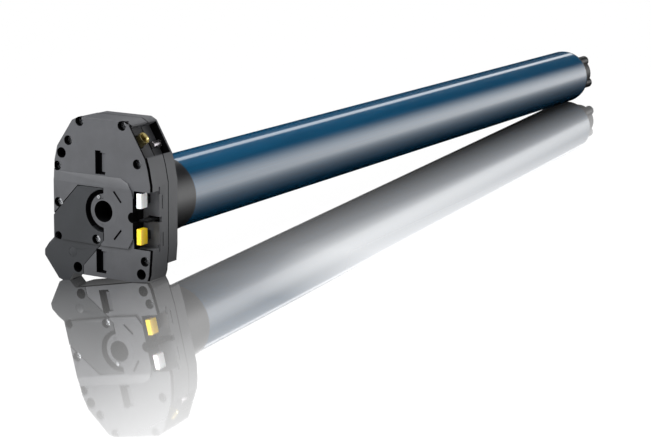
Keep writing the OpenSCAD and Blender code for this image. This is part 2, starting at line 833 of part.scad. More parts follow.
module tube_stub() {
    color(zinc) difference() {
        union() {
            rod(wheel_x[0] - 2 * clip_t, wheel_x[1], wheel_seat_d);
            rod(wheel_x[1], x_tube, stub_d);
            rod(x_tube - 0.1, x_tube + plug_len, 2 * (tube_in - seat));
        }
        tube(wheel_x[0] - clip_t - seat, wheel_x[0] + seat, wheel_seat_d + 2, wheel_seat_d - 2);
        rod(wheel_x[0] - 3, bush_end + 2, bush_tail_d + 2 * run);
        rod(bush_end + 1.9, x_tube + plug_len + 1, stub_bore);
    }
}

// Capacitor and its holder
module capacitor_holder() {
    hold_len = cap_len + cap_base + 8;
    color(black) difference() {
        rod(x_cap, x_cap + hold_len, plug_d);
        rod(x_cap + cap_base, x_cap + hold_len + 1, cap_d + 2 * seat);
        rod(x_cap - 1, x_cap + hold_len, 8);
        for (a = [0:90:270])
            rotate([a, 0, 0]) box([x_cap + 10, x_cap + hold_len - 8], [-9, 9], [0, tube_r]);
    }
}

module capacitor() {
    color(white) {
        rod(x_cap + cap_base, x_cap + cap_base + cap_len, cap_d);
        for (s = [-1, 1])
            translate([x_cap + cap_base + cap_len - 0.5, 5 * s - 0.4, -3]) cube([7, 0.8, 6]);
    }
}

// Brake between the stator and the capacitor
module brake_housing() {
    color(zinc) difference() {
        rod(x_brake, x_bell, plug_d);
        rod(x_brake + 3, x_bell + 1, 2 * tube_in - 6);
        rod(x_brake - 1, x_bell, shaft_d + 8);
    }
}

module brake_coil() {
    color(copper) tube(x_brake + 3, x_brake + 17, 2 * tube_in - 7, 18);
}

module brake_disc() {
    color(steel) tube(x_brake + 18.5, x_brake + 22, 2 * tube_in - 9, shaft_d - seat);
}

// Motor: end bells, bearings, stator and windings
module bell(x0, x1, open_at) {
    difference() {
        rod(x0, x1, plug_d);
        rod(x0 - 1, x1 + 1, bearing_d + 2 * seat);
        rod(open_at[0], open_at[1], 2 * tube_in - 4);
    }
}

module rear_bell() {
    color(zinc) bell(x_bell, x_stator, [x_stator - end_turn, x_stator + 1]);
}

module front_bell() {
    color(zinc) bell(x_stator_end, x_gear, [x_stator_end - 1, x_stator_end + end_turn]);
}

module motor_bearings() {
    color(steel) for (x = [x_bell, x_gear - bearing_w])
        tube(x, x + bearing_w, bearing_d, shaft_d);
}

module winding_bars(r) {
    for (i = [0:slots - 1])
        rotate([360 * i / slots, 0, 0]) rod_at([slot_ring, 0], x_stator - 2, x_stator_end + 2, 2 * r);
}

module stator_core() {
    color(steel) difference() {
        rod(x_stator, x_stator_end, plug_d);
        rod(x_stator - 1, x_stator_end + 1, stator_bore);
        winding_bars(slot_r);
    }
}

module stator_windings() {
    color(copper) {
        winding_bars(slot_r - 0.1);
        for (x = [x_stator - 7, x_stator_end + 0.3])
            tube(x, x + 6.7, 2 * (slot_ring + slot_r - 0.2), 2 * (slot_ring - slot_r + 0.2));
    }
}

module rotor_core() {
    color(steel) tube(x_stator + 2, x_stator_end - 2, stator_bore - 2 * air_gap, shaft_d - seat);
}

// Gears turn about X; a planet starts half a tooth round so that it meshes at rest
module sun(x0, x1) {
    along_x(x0, x1) polygon(gear_points(sun_teeth, gear_m, gear_slack));
}

module rotor_shaft() {
    color(steel) {
        rod(x_brake + 16, x_gear, shaft_d - run);
        rod(x_gear - 0.1, planet_x(0), 2 * sun_neck_r);
        sun(planet_x(0), planet_x(0) + planet_w);
    }
}

module gearbox_ring() {
    color(zinc) difference() {
        rod(x_gear, x_gear_end, plug_d);
        along_x(x_gear - 1, x_gear_end + 1)
            polygon(ring_points(ring_gear_teeth, gear_m, gear_slack));
    }
}

module carrier(i) {
    rod(carrier_x(i), carrier_x(i) + carrier_t, 2 * carrier_r);
    for (a = [0:120:240])
        rotate([a, 0, 0]) rod_at([gear_mid, 0], planet_x(i) - 0.6, carrier_x(i) + 0.5, pin_d);
}

module carrier_1() {
    color(steel) {
        carrier(0);
        rod(carrier_x(0) + carrier_t - 0.1, planet_x(1), 2 * sun_neck_r);
        sun(planet_x(1), planet_x(1) + planet_w);
    }
}

module carrier_2() {
    color(steel) {
        carrier(1);
        rod(carrier_x(1) + carrier_t - 0.1, planet_x(2), 2 * sun_neck_r);
        sun(planet_x(2), planet_x(2) + planet_w);
    }
}

// The cuts that leave two flats on the output shaft, set out by a gap
module shaft_flats(gap) {
    for (s = [-1, 1])
        translate([x_flat, -output_d, s > 0 ? flat_half + gap : -flat_half - gap - output_d])
            cube([drive_len, 2 * output_d, output_d]);
}

module output_carrier() {
    color(steel) {
        carrier(2);
        difference() {
            union() {
                rod(carrier_x(2) + carrier_t - 0.1, x_flat, output_d);
                rod(x_flat - 0.1, x_shaft_end, output_d - 2);
            }
            rod(x_shaft_end - 14, x_shaft_end + 1, drive_screw_d);
            shaft_flats(0);
        }
    }
}

module planet(i, a) {
    color(zinc) rotate([a, 0, 0]) translate([0, gear_mid, 0]) difference() {
        rotate([planet_phase, 0, 0]) along_x(planet_x(i) + planet_gap, planet_x(i) + planet_w - planet_gap)
            polygon(gear_points(planet_teeth, gear_m, gear_slack));
        rod(planet_x(i) - 1, planet_x(i) + planet_w + 1, pin_d + 2 * run);
    }
}

// Bush in the tube's far end, and the lobed wheel that drives the roller tube
module end_bush() {
    color(black) difference() {
        union() {
            rod(x_tube_end - bush_len, x_tube_end, plug_d);
            rod(x_tube_end, x_tube_end + bush_flange, tube_d - 0.6);
        }
        rod(x_tube_end - bush_len - 1, x_tube_end + bush_flange + 1, output_d + 2 * run);
    }
}

module drive_wheel() {
    color(black) difference() {
        along_x(x_drive, x_drive_end) {
            circle(d = drive_d);
            for (i = [0:lobes - 1])
                rotate(lobe_turn + 360 * i / lobes)
                    translate([lobe_span / 2 - lobe_r, 0]) circle(r = lobe_r);
        }
        rod(x_drive - overcut, x_flat, output_d + 2 * free);
        difference() {
            rod(x_flat - 0.1, x_shaft_end, output_d - 2 + 2 * seat);
            shaft_flats(seat);
        }
        rod(x_shaft_end - 1, x_drive_end + 1, drive_screw_d + 0.4);
        for (i = [0:lobes - 1])
            rotate([lobe_turn + 360 * (i + 0.5) / lobes, 0, 0])
                rod_at([drive_d / 2 - 3.4, 0], x_drive_end - 8, x_drive_end + 1, 3.6);
    }
}

module drive_screw() {
    color(steel) {
        rod(x_drive_end, x_drive_end + 2.2, 8);
        rod(x_shaft_end - 12, x_drive_end + 0.1, drive_screw_d - 2 * seat);
    }
}

front_plate();
cable_cover();
mid_housing();
rear_housing();
hub_bush();
plate_screws();
cover_screws();
hub_screw();
power_socket();
socket_pins();
switch_block();
white_button();
yellow_button();
retaining_pin();
worm_bushes();
override_socket();
override_worm();
limit_ring();
limit_pinion();
motor_tube();
tube_stub();
worm_wheel();
wheel_clip();
capacitor_holder();
capacitor();
brake_housing();
brake_coil();
brake_disc();
rear_bell();
front_bell();
motor_bearings();
stator_core();
stator_windings();
rotor_core();
rotor_shaft();
gearbox_ring();
carrier_1();
carrier_2();
output_carrier();
planet(0, 0);  // planet_1a
planet(0, 120);  // planet_1b
planet(0, 240);  // planet_1c
planet(1, 0);  // planet_2a
planet(1, 120);  // planet_2b
planet(1, 240);  // planet_2c
planet(2, 0);  // planet_3a
planet(2, 120);  // planet_3b
planet(2, 240);  // planet_3c
end_bush();
drive_wheel();
drive_screw();
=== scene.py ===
"""Tubular roller blind motor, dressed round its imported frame.

Each sub-assembly is a class: it reads its places from the frame, builds its meshes with bmesh
operators and gives them their finishes. Lengths are metres unless a name ends in mm.
"""

from __future__ import annotations

import json
import logging
import math
from collections.abc import Callable, Iterable
from dataclasses import dataclass, field
from enum import Enum
from typing import Any

import bmesh
import bpy
from mathutils import Matrix, Vector


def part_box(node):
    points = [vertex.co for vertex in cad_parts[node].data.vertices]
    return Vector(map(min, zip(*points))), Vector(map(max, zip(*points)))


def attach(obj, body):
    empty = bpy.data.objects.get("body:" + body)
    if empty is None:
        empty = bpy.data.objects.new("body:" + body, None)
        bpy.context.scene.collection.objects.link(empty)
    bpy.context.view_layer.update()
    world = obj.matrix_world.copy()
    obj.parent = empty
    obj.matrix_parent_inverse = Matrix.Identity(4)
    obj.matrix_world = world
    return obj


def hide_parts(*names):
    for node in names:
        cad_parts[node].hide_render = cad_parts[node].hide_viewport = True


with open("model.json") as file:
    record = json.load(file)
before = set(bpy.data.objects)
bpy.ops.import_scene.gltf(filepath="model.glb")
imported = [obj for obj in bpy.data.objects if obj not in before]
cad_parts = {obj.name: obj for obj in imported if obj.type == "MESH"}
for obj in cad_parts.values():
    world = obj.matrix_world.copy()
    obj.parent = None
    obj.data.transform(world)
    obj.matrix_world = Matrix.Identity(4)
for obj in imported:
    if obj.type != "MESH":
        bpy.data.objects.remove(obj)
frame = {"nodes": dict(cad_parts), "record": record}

LOG = logging.getLogger("blind_motor")
MM = 0.001

Colour = tuple[float, float, float, float]
Profile = list[tuple[float, float]]


def linear(code: str) -> Colour:
    """Turns an sRGB hex colour to linear light.

    Args:
        code: Six hex digits, such as "4a4b4e".

    Returns:
        Red, green, blue and an alpha of 1.
    """
    parts = [int(code[i:i + 2], 16) / 255 for i in (0, 2, 4)]
    light = [p / 12.92 if p <= 0.04045 else ((p + 0.055) / 1.055) ** 2.4 for p in parts]
    return (light[0], light[1], light[2], 1.0)


def add_node(tree: bpy.types.NodeTree, kind: str, inputs: dict[Any, Any] | None = None,
             stops: Iterable[tuple[float, Any]] = (), **settings: Any) -> bpy.types.Node:
    """Adds a node with its settings, values and links.

    Args:
        tree: The tree that gets the node.
        kind: The node's type.
        inputs: Input name or index to a constant, or to the socket that feeds it.
        stops: Places and colours, for a colour ramp alone.
        settings: Attributes of the node.

    Returns:
        The new node.
    """
    node = tree.nodes.new(kind)
    for name, value in settings.items():
        setattr(node, name, value)
    for name, value in (inputs or {}).items():
        if isinstance(value, bpy.types.NodeSocket):
            tree.links.new(value, node.inputs[name])
        else:
            node.inputs[name].default_value = value
    for index, (place, value) in enumerate(stops):
        elements = node.color_ramp.elements
        element = elements[index] if index < 2 else elements.new(place)
        element.position = place
        element.color = value
    return node


def scaled(colour: Colour, factor: float) -> Colour:
    """Returns a colour whose light is scaled by a factor."""
    red, green, blue, alpha = colour
    return (red * factor, green * factor, blue * factor, alpha)


def empty_tree(owner: bpy.types.Material | bpy.types.World) -> bpy.types.NodeTree:
    """Switches a material or world to nodes and clears them.

    Args:
        owner: The material or world.

    Returns:
        Its tree, with nothing in it.
    """
    owner.use_nodes = True
    owner.node_tree.nodes.clear()
    return owner.node_tree


def new_material(name: str) -> tuple[bpy.types.Material, bpy.types.NodeTree, bpy.types.Node]:
    """Makes a material with an empty tree but for its shader and its output.

    Args:
        name: The real material's name.

    Returns:
        The material, its tree and its shader.
    """
    material = bpy.data.materials.new(name)
    tree = empty_tree(material)
    shader = add_node(tree, "ShaderNodeBsdfPrincipled")
    add_node(tree, "ShaderNodeOutputMaterial", {"Surface": shader.outputs["BSDF"]})
    return material, tree, shader


class Finish:
    """A finish that is built once and shared by every piece that has it."""

    name: str
    made: dict[str, bpy.types.Material] = {}

    def material(self) -> bpy.types.Material:
        """Gives the finish's material, which is built at first use.

        Returns:
            The material.
        """
        if self.name not in Finish.made:
            Finish.made[self.name] = self.build()
        return Finish.made[self.name]

    def build(self) -> bpy.types.Material:
        """Builds the material; each finish has its own."""
        raise NotImplementedError


@dataclass(frozen=True)
class MouldedNylon(Finish):
    """Glass-filled nylon from a spark-eroded mould: satin, with a fine even grain.

    The grain scatters the gloss, and flow in the mould leaves the tone faintly uneven. The
    grain is drawn coarser than a real one, so that it shows.
    """

    name: str
    tone: str
    rough: float = 0.46
    grain_mm: float = 0.32
    grain_deep_mm: float = 0.012
    flow_mm: float = 14.0
    flow_change: float = 0.10
    fleck_share: float = 0.10
    rough_change: float = 0.07
    ior: float = 1.53
    shine: float = 0.5

    def build(self) -> bpy.types.Material:
        """Builds the nylon's nodes.

        Returns:
            The material.
        """
        material, tree, shader = new_material(self.name)
        place = add_node(tree, "ShaderNodeTexCoord").outputs["Object"]
        grain = add_node(tree, "ShaderNodeTexNoise", {
            "Vector": place, "Scale": 1 / (self.grain_mm * MM), "Detail": 3.0, "Roughness": 0.6})
        flow = add_node(tree, "ShaderNodeTexNoise", {
            "Vector": place, "Scale": 1 / (self.flow_mm * MM), "Detail": 4.0, "Roughness": 0.55})
        base = linear(self.tone)
        tint = add_node(tree, "ShaderNodeValToRGB", {"Fac": flow.outputs["Fac"]},
                        stops=[(0.32, scaled(base, 1 - self.flow_change)),
                               (0.68, scaled(base, 1 + self.flow_change))])
        fleck = add_node(tree, "ShaderNodeMix", {
            0: self.fleck_share, 6: tint.outputs["Color"], 7: grain.outputs["Color"]},
            data_type="RGBA", blend_type="OVERLAY")
        gloss = add_node(tree, "ShaderNodeMapRange", {
            "Value": grain.outputs["Fac"], "From Min": 0.3, "From Max": 0.7,
            "To Min": self.rough - self.rough_change,
            "To Max": self.rough + self.rough_change})
        bump = add_node(tree, "ShaderNodeBump", {
            "Height": grain.outputs["Fac"], "Distance": self.grain_deep_mm * MM,
            "Strength": 1.0})
        tree.links.new(fleck.outputs[2], shader.inputs["Base Color"])
        tree.links.new(gloss.outputs["Result"], shader.inputs["Roughness"])
        tree.links.new(bump.outputs["Normal"], shader.inputs["Normal"])
        shader.inputs["IOR"].default_value = self.ior
        shader.inputs["Specular IOR Level"].default_value = self.shine
        return material


@dataclass(frozen=True)
class GlossEnamel(Finish):
    """Gloss enamel baked on a drawn steel tube: a deep colour under a clear, faintly wavy skin.

    The skin mirrors the lights sharply, and the draw marks below it run along the tube.
    """

    name: str
    tone: str
    deep_tone: str
    peel_mm: float = 2.4
    peel_deep_mm: float = 0.0016
    draw_mm: float = 0.35
    draw_long_mm: float = 60.0
    rough: tuple[float, float] = (0.34, 0.44)
    ior: float = 1.55
    shine: float = 0.15
    skin_ior: float = 1.8
    skin_rough: float = 0.06

    def build(self) -> bpy.types.Material:
        """Builds the enamel's nodes.

        Returns:
            The material.
        """
        material, tree, shader = new_material(self.name)
        place = add_node(tree, "ShaderNodeTexCoord").outputs["Object"]
        lines = add_node(tree, "ShaderNodeMapping", {
            "Vector": place,
            "Scale": (1 / (self.draw_long_mm * MM), 1 / (self.draw_mm * MM),
                      1 / (self.draw_mm * MM))})
        draw = add_node(tree, "ShaderNodeTexNoise", {
            "Vector": lines.outputs["Vector"], "Scale": 1.0, "Detail": 2.0})
        peel = add_node(tree, "ShaderNodeTexNoise", {
            "Vector": place, "Scale": 1 / (self.peel_mm * MM), "Detail": 1.0})
        tint = add_node(tree, "ShaderNodeValToRGB", {"Fac": draw.outputs["Fac"]},
                        stops=[(0.3, linear(self.deep_tone)), (0.7, linear(self.tone))])
        gloss = add_node(tree, "ShaderNodeMapRange", {
            "Value": draw.outputs["Fac"], "From Min": 0.3, "From Max": 0.7,
            "To Min": self.rough[0], "To Max": self.rough[1]})
        bump = add_node(tree, "ShaderNodeBump", {
            "Height": peel.outputs["Fac"], "Distance": self.peel_deep_mm * MM, "Strength": 1.0})
        tree.links.new(tint.outputs["Color"], shader.inputs["Base Color"])
        tree.links.new(gloss.outputs["Result"], shader.inputs["Roughness"])
        tree.links.new(bump.outputs["Normal"], shader.inputs["Coat Normal"])
        shader.inputs["IOR"].default_value = self.ior
        shader.inputs["Specular IOR Level"].default_value = self.shine
        shader.inputs["Coat Weight"].default_value = 1.0
        shader.inputs["Coat Roughness"].default_value = self.skin_rough
        shader.inputs["Coat IOR"].default_value = self.skin_ior
        return material


@dataclass(frozen=True)
class GlossPlastic(Finish):
    """Gloss ABS from a polished mould: bright, with a soft glow of light passing under it."""

    name: str
    tone: str
    rough: float = 0.22
    rough_change: float = 0.06
    wave_mm: float = 3.0
    wave_deep_mm: float = 0.01
    shade: float = 0.93
    ior: float = 1.54
    glow_share: float = 0.15
    glow_mm: float = 0.6

    def build(self) -> bpy.types.Material:
        """Builds the plastic's nodes.

        Returns:
            The material.
        """
        material, tree, shader = new_material(self.name)
        place = add_node(tree, "ShaderNodeTexCoord").outputs["Object"]
        wave = add_node(tree, "ShaderNodeTexNoise", {
            "Vector": place, "Scale": 1 / (self.wave_mm * MM), "Detail": 3.0})
        base = linear(self.tone)
        tint = add_node(tree, "ShaderNodeValToRGB", {"Fac": wave.outputs["Fac"]},
                        stops=[(0.35, scaled(base, self.shade)), (0.65, base)])
        gloss = add_node(tree, "ShaderNodeMapRange", {
            "Value": wave.outputs["Fac"], "To Min": self.rough - self.rough_change,
            "To Max": self.rough + self.rough_change})
        bump = add_node(tree, "ShaderNodeBump", {
            "Height": wave.outputs["Fac"], "Distance": self.wave_deep_mm * MM,
            "Strength": 1.0})
        tree.links.new(tint.outputs["Color"], shader.inputs["Base Color"])
        tree.links.new(gloss.outputs["Result"], shader.inputs["Roughness"])
        tree.links.new(bump.outputs["Normal"], shader.inputs["Normal"])
        shader.inputs["IOR"].default_value = self.ior
        shader.inputs["Subsurface Weight"].default_value = self.glow_share
        shader.inputs["Subsurface Scale"].default_value = self.glow_mm * MM
        return material


class Cut(Enum):
    """How a metal piece was cut, which sets the way its marks run."""

    ALONG_X = "rings about the tube's axis"
    CAST = "no marks, but the die's grain"


@dataclass(frozen=True)
class CutMetal(Finish):
    """Bare metal with the marks of its making: turned rings, or a die's grain.

    The marks stretch the highlights across them, and oil stains darken the metal in patches.
    """

    name: str
    tone: str
    cut: Cut = Cut.CAST
    rough: float = 0.3
    mark_mm: float = 0.12
    mark_deep_mm: float = 0.004
    cast_coarser: float = 4.0
    stain_mm: float = 4.0
    stain_tone: float = 0.78
    rough_change: float = 0.08

    def build(self) -> bpy.types.Material:
        """Builds the metal's nodes.

        Returns:
            The material.
        """
        material, tree, shader = new_material(self.name)
        place = add_node(tree, "ShaderNodeTexCoord").outputs["Object"]
        if self.cut is Cut.CAST:
            noise = add_node(tree, "ShaderNodeTexNoise", {
                "Vector": place, "Scale": 1 / (self.mark_mm * self.cast_coarser * MM),
                "Detail": 4.0})
        else:
            reach = add_node(tree, "ShaderNodeSeparateXYZ", {0: place})
            noise = add_node(tree, "ShaderNodeTexNoise", {
                "W": reach.outputs["X"], "Scale": 1 / (self.mark_mm * MM), "Detail": 2.0},
                noise_dimensions="1D")
        marks = noise.outputs["Fac"]
        stain = add_node(tree, "ShaderNodeTexNoise", {
            "Vector": place, "Scale": 1 / (self.stain_mm * MM), "Detail": 4.0})
        base = linear(self.tone)
        tint = add_node(tree, "ShaderNodeValToRGB", {"Fac": stain.outputs["Fac"]},
                        stops=[(0.3, scaled(base, self.stain_tone)), (0.62, base)])
        gloss = add_node(tree, "ShaderNodeMapRange", {
            "Value": marks, "From Min": 0.3, "From Max": 0.7,
            "To Min": self.rough - self.rough_change, "To Max": self.rough + self.rough_change})
        bump = add_node(tree, "ShaderNodeBump", {
            "Height": marks, "Distance": self.mark_deep_mm * MM, "Strength": 1.0})
        tree.links.new(tint.outputs["Color"], shader.inputs["Base Color"])
        tree.links.new(gloss.outputs["Result"], shader.inputs["Roughness"])
        tree.links.new(bump.outputs["Normal"], shader.inputs["Normal"])
        shader.inputs["Metallic"].default_value = 1.0
        return material


@dataclass(frozen=True)
class StackedMetal(Finish):
    """Electrical sheets stacked along the tube, or wire laid along it: fine even lines.

    Each line catches its own glint, and the gaps between them are painted dark as their shade.
    """

    name: str
    tone: str
    gap_shade_tone: str
    pitch_mm: float = 0.5
    across: bool = False
    rough: float = 0.35
    gap_deep_mm: float = 0.05

    def build(self) -> bpy.types.Material:
        """Builds the stack's nodes.

        Returns:
            The material.
        """
        material, tree, shader = new_material(self.name)
        place = add_node(tree, "ShaderNodeTexCoord").outputs["Object"]
        # The wave node repeats every 2 pi / 20 of its scaled coordinate
        lines = add_node(tree, "ShaderNodeTexWave", {
            "Vector": place, "Scale": 2 * math.pi / (20 * self.pitch_mm * MM),
            "Distortion": 0.0},
            wave_type="BANDS", bands_direction="Y" if self.across else "X")
        # The dark gap tone is painted shade between the lines
        tint = add_node(tree, "ShaderNodeValToRGB", {"Fac": lines.outputs["Fac"]},
                        stops=[(0.1, linear(self.gap_shade_tone)), (0.5, linear(self.tone))])
        bump = add_node(tree, "ShaderNodeBump", {
            "Height": lines.outputs["Fac"], "Distance": self.gap_deep_mm * MM,
            "Strength": 0.8})
        tree.links.new(tint.outputs["Color"], shader.inputs["Base Color"])
        tree.links.new(bump.outputs["Normal"], shader.inputs["Normal"])
        shader.inputs["Metallic"].default_value = 0.9
        shader.inputs["Roughness"].default_value = self.rough
        return material


HOUSING = MouldedNylon("glass-filled nylon, graphite", "414245", shine=0.36)
COVER = MouldedNylon("glass-filled nylon, dark graphite", "232528", rough=0.42, shine=0.35)
RING_BLACK = MouldedNylon("acetal, black, satin", "141517", rough=0.34, grain_mm=0.5)
DRIVE_BLACK = MouldedNylon("acetal, deep black", "0f1011", rough=0.4, grain_mm=0.5,
                           shine=0.25)
# Black PBT, also laid on the buttons' feet as painted shade
BLACK_PBT_AND_PAINTED_SHADE = MouldedNylon("PBT, black, satin, and painted shade", "101113", rough=0.44, shine=0.3)
# Black and matt: the gasket between the housings, and painted shade on the head's groove, gap,
# hole, bore and pocket faces and in the plate's screw holes
SEAL_AND_PAINTED_SHADE = MouldedNylon("rubber seal and painted shade, black, matt", "050506", rough=0.8, shine=0.04)
WHITE = GlossPlastic("ABS, signal white", "f6f6f5")
YELLOW = GlossPlastic("ABS, golden yellow", "ffd42a")
BLUE = GlossEnamel("enamelled steel, deep blue", "074a6c", "053c5a")
SCREW_STEEL = CutMetal("zinc-plated steel, dull", "c2c4c7", Cut.CAST, rough=0.3)
PIN_STEEL = CutMetal("ground steel pin", "aba7ab", Cut.ALONG_X, rough=0.26)
BRASS = CutMetal("turned brass, pale", "ada06f", Cut.CAST, rough=0.34)
GEAR_STEEL = CutMetal("hobbed steel", "a9abae", Cut.ALONG_X, rough=0.3)
ZINC = CutMetal("die-cast zinc alloy", "9a9ca0", Cut.CAST, rough=0.42, mark_mm=0.25)
# The second tone of each stack is painted shade in the gaps between its lines
SHEETS = StackedMetal("stacked electrical steel", "8c9096", "3a3c40")
COPPER = StackedMetal("enamelled copper wire", "b5602c", "4a2210", 0.6, across=True)
CAN = GlossPlastic("polypropylene can, pale grey", "c8c9c6", rough=0.36)


def island_boxes(node: str) -> list[tuple[Vector, Vector]]:
    """Measures each separate solid of a CAD node.

    Args:
        node: The node's name.

    Returns:
        Lowest and highest corner of each solid, in order of Y and then of Z.
    """
    mesh = bmesh.new()
    mesh.from_mesh(frame["nodes"][node].data)
    bmesh.ops.remove_doubles(mesh, verts=mesh.verts, dist=0.001 * MM)
    left = set(mesh.verts)
    boxes = []
    while left:
        edge = [left.pop()]
        island = list(edge)
        while edge:
            for link in edge.pop().link_edges:
                for vert in link.verts:
                    if vert in left:
                        left.remove(vert)
                        edge.append(vert)
                        island.append(vert)
        spots = [v.co for v in island]
        boxes.append((Vector([min(p[i] for p in spots) for i in range(3)]),
                      Vector([max(p[i] for p in spots) for i in range(3)])))
    mesh.free()
    return sorted(boxes, key=lambda pair: (pair[0].y, pair[0].z))


def make_object(name: str, mesh: bmesh.types.BMesh, finish: Finish,
                smooth_deg: float = 32.0) -> bpy.types.Object:
    """Turns a bmesh into a piece at the origin.

    Args:
        name: The piece's name.
        mesh: The shape, which is freed.
        finish: What its first slot gets.
        smooth_deg: Edges sharper than this stay sharp.

    Returns:
        The new object.
    """
    data = bpy.data.meshes.new(name)
    mesh.to_mesh(data)
    mesh.free()
    for polygon in data.polygons:
        polygon.use_smooth = True
    data.set_sharp_from_angle(angle=math.radians(smooth_deg))
    data.materials.append(finish.material())
    piece = bpy.data.objects.new(name, data)
    bpy.context.scene.collection.objects.link(piece)
    return piece


def round_edges(piece: bpy.types.Object, width_mm: float, angle_deg: float = 35.0) -> None:
    """Rounds a piece's sharp edges with a live bevel that keeps its flats flat.

    Args:
        piece: The piece.
        width_mm: How far the rounding reaches from the edge.
        angle_deg: Edges flatter than this are left.
    """
    bevel = piece.modifiers.new("soft edges", "BEVEL")
    bevel.limit_method = "ANGLE"
    bevel.angle_limit = math.radians(angle_deg)
    bevel.width = width_mm * MM
    bevel.segments = 2
    bevel.use_clamp_overlap = True
    bevel.harden_normals = True


def cad_copy(node: str, finish: Finish, round_mm: float = 0.0,
             second: Finish | None = None,
             gets_second: Callable[[Vector, Vector], bool] | None = None) -> bpy.types.Object:
    """Copies a CAD node with its triangles merged, and lets the copy stand for it.

    Args:
        node: The node's name.
        finish: The copy's finish.
        round_mm: How far its sharp edges are rounded.
        second: Another finish, for some of its faces.
        gets_second: Tells from a face's centre in mm and its normal whether it is one of them.

    Returns:
        The copy, which rides on the node's body and replaces the node.
    """
    source = frame["nodes"][node]
    mesh = bmesh.new()
    mesh.from_mesh(source.data)
    bmesh.ops.remove_doubles(mesh, verts=mesh.verts, dist=0.002 * MM)
    bmesh.ops.dissolve_limit(mesh, angle_limit=math.radians(0.5), verts=mesh.verts,
                             edges=mesh.edges)
    piece = make_object(f"{node}_dressed", mesh, finish)
    if second and gets_second:
        piece.data.materials.append(second.material())
        for polygon in piece.data.polygons:
            if gets_second(polygon.center / MM, polygon.normal):
                polygon.material_index = 1
    if round_mm:
        round_edges(piece, round_mm)
    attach(piece, body_of_node(node))
    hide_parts(node)
    return piece


def body_of_node(node: str) -> str:
    """Returns the name of the body that carries a CAD node."""
    bodies = frame["record"]["behaviour"]["bodies"]
    return next(body for body, members in bodies.items() if node in members)


def paint(node: str, finish: Finish) -> None:
    """Gives a CAD node a finish in place of its plain colour.

    Args:
        node: The node's name.
        finish: The finish.
    """
    slots = frame["nodes"][node].data.materials
    slots.clear()
    slots.append(finish.material())


def spun(profile: Profile, steps: int) -> bmesh.types.BMesh:
    """Spins a closed profile about the tube's axis.

    Args:
        profile: Distance along X and radius of each corner, in mm, going round.
        steps: Steps of the full turn.

    Returns:
        A closed ring with its faces outwards.
    """
    mesh = bmesh.new()
    verts = [mesh.verts.new((x * MM, 0, r * MM)) for x, r in profile]
    edges = [mesh.edges.new((verts[i], verts[(i + 1) % len(verts)]))
             for i in range(len(verts))]
    bmesh.ops.spin(mesh, geom=verts + edges, cent=(0, 0, 0), axis=(1, 0, 0),
                   angle=2 * math.pi, steps=steps, use_merge=True)
    bmesh.ops.remove_doubles(mesh, verts=mesh.verts, dist=0.001 * MM)
    bmesh.ops.recalc_face_normals(mesh, faces=mesh.faces)
    return mesh


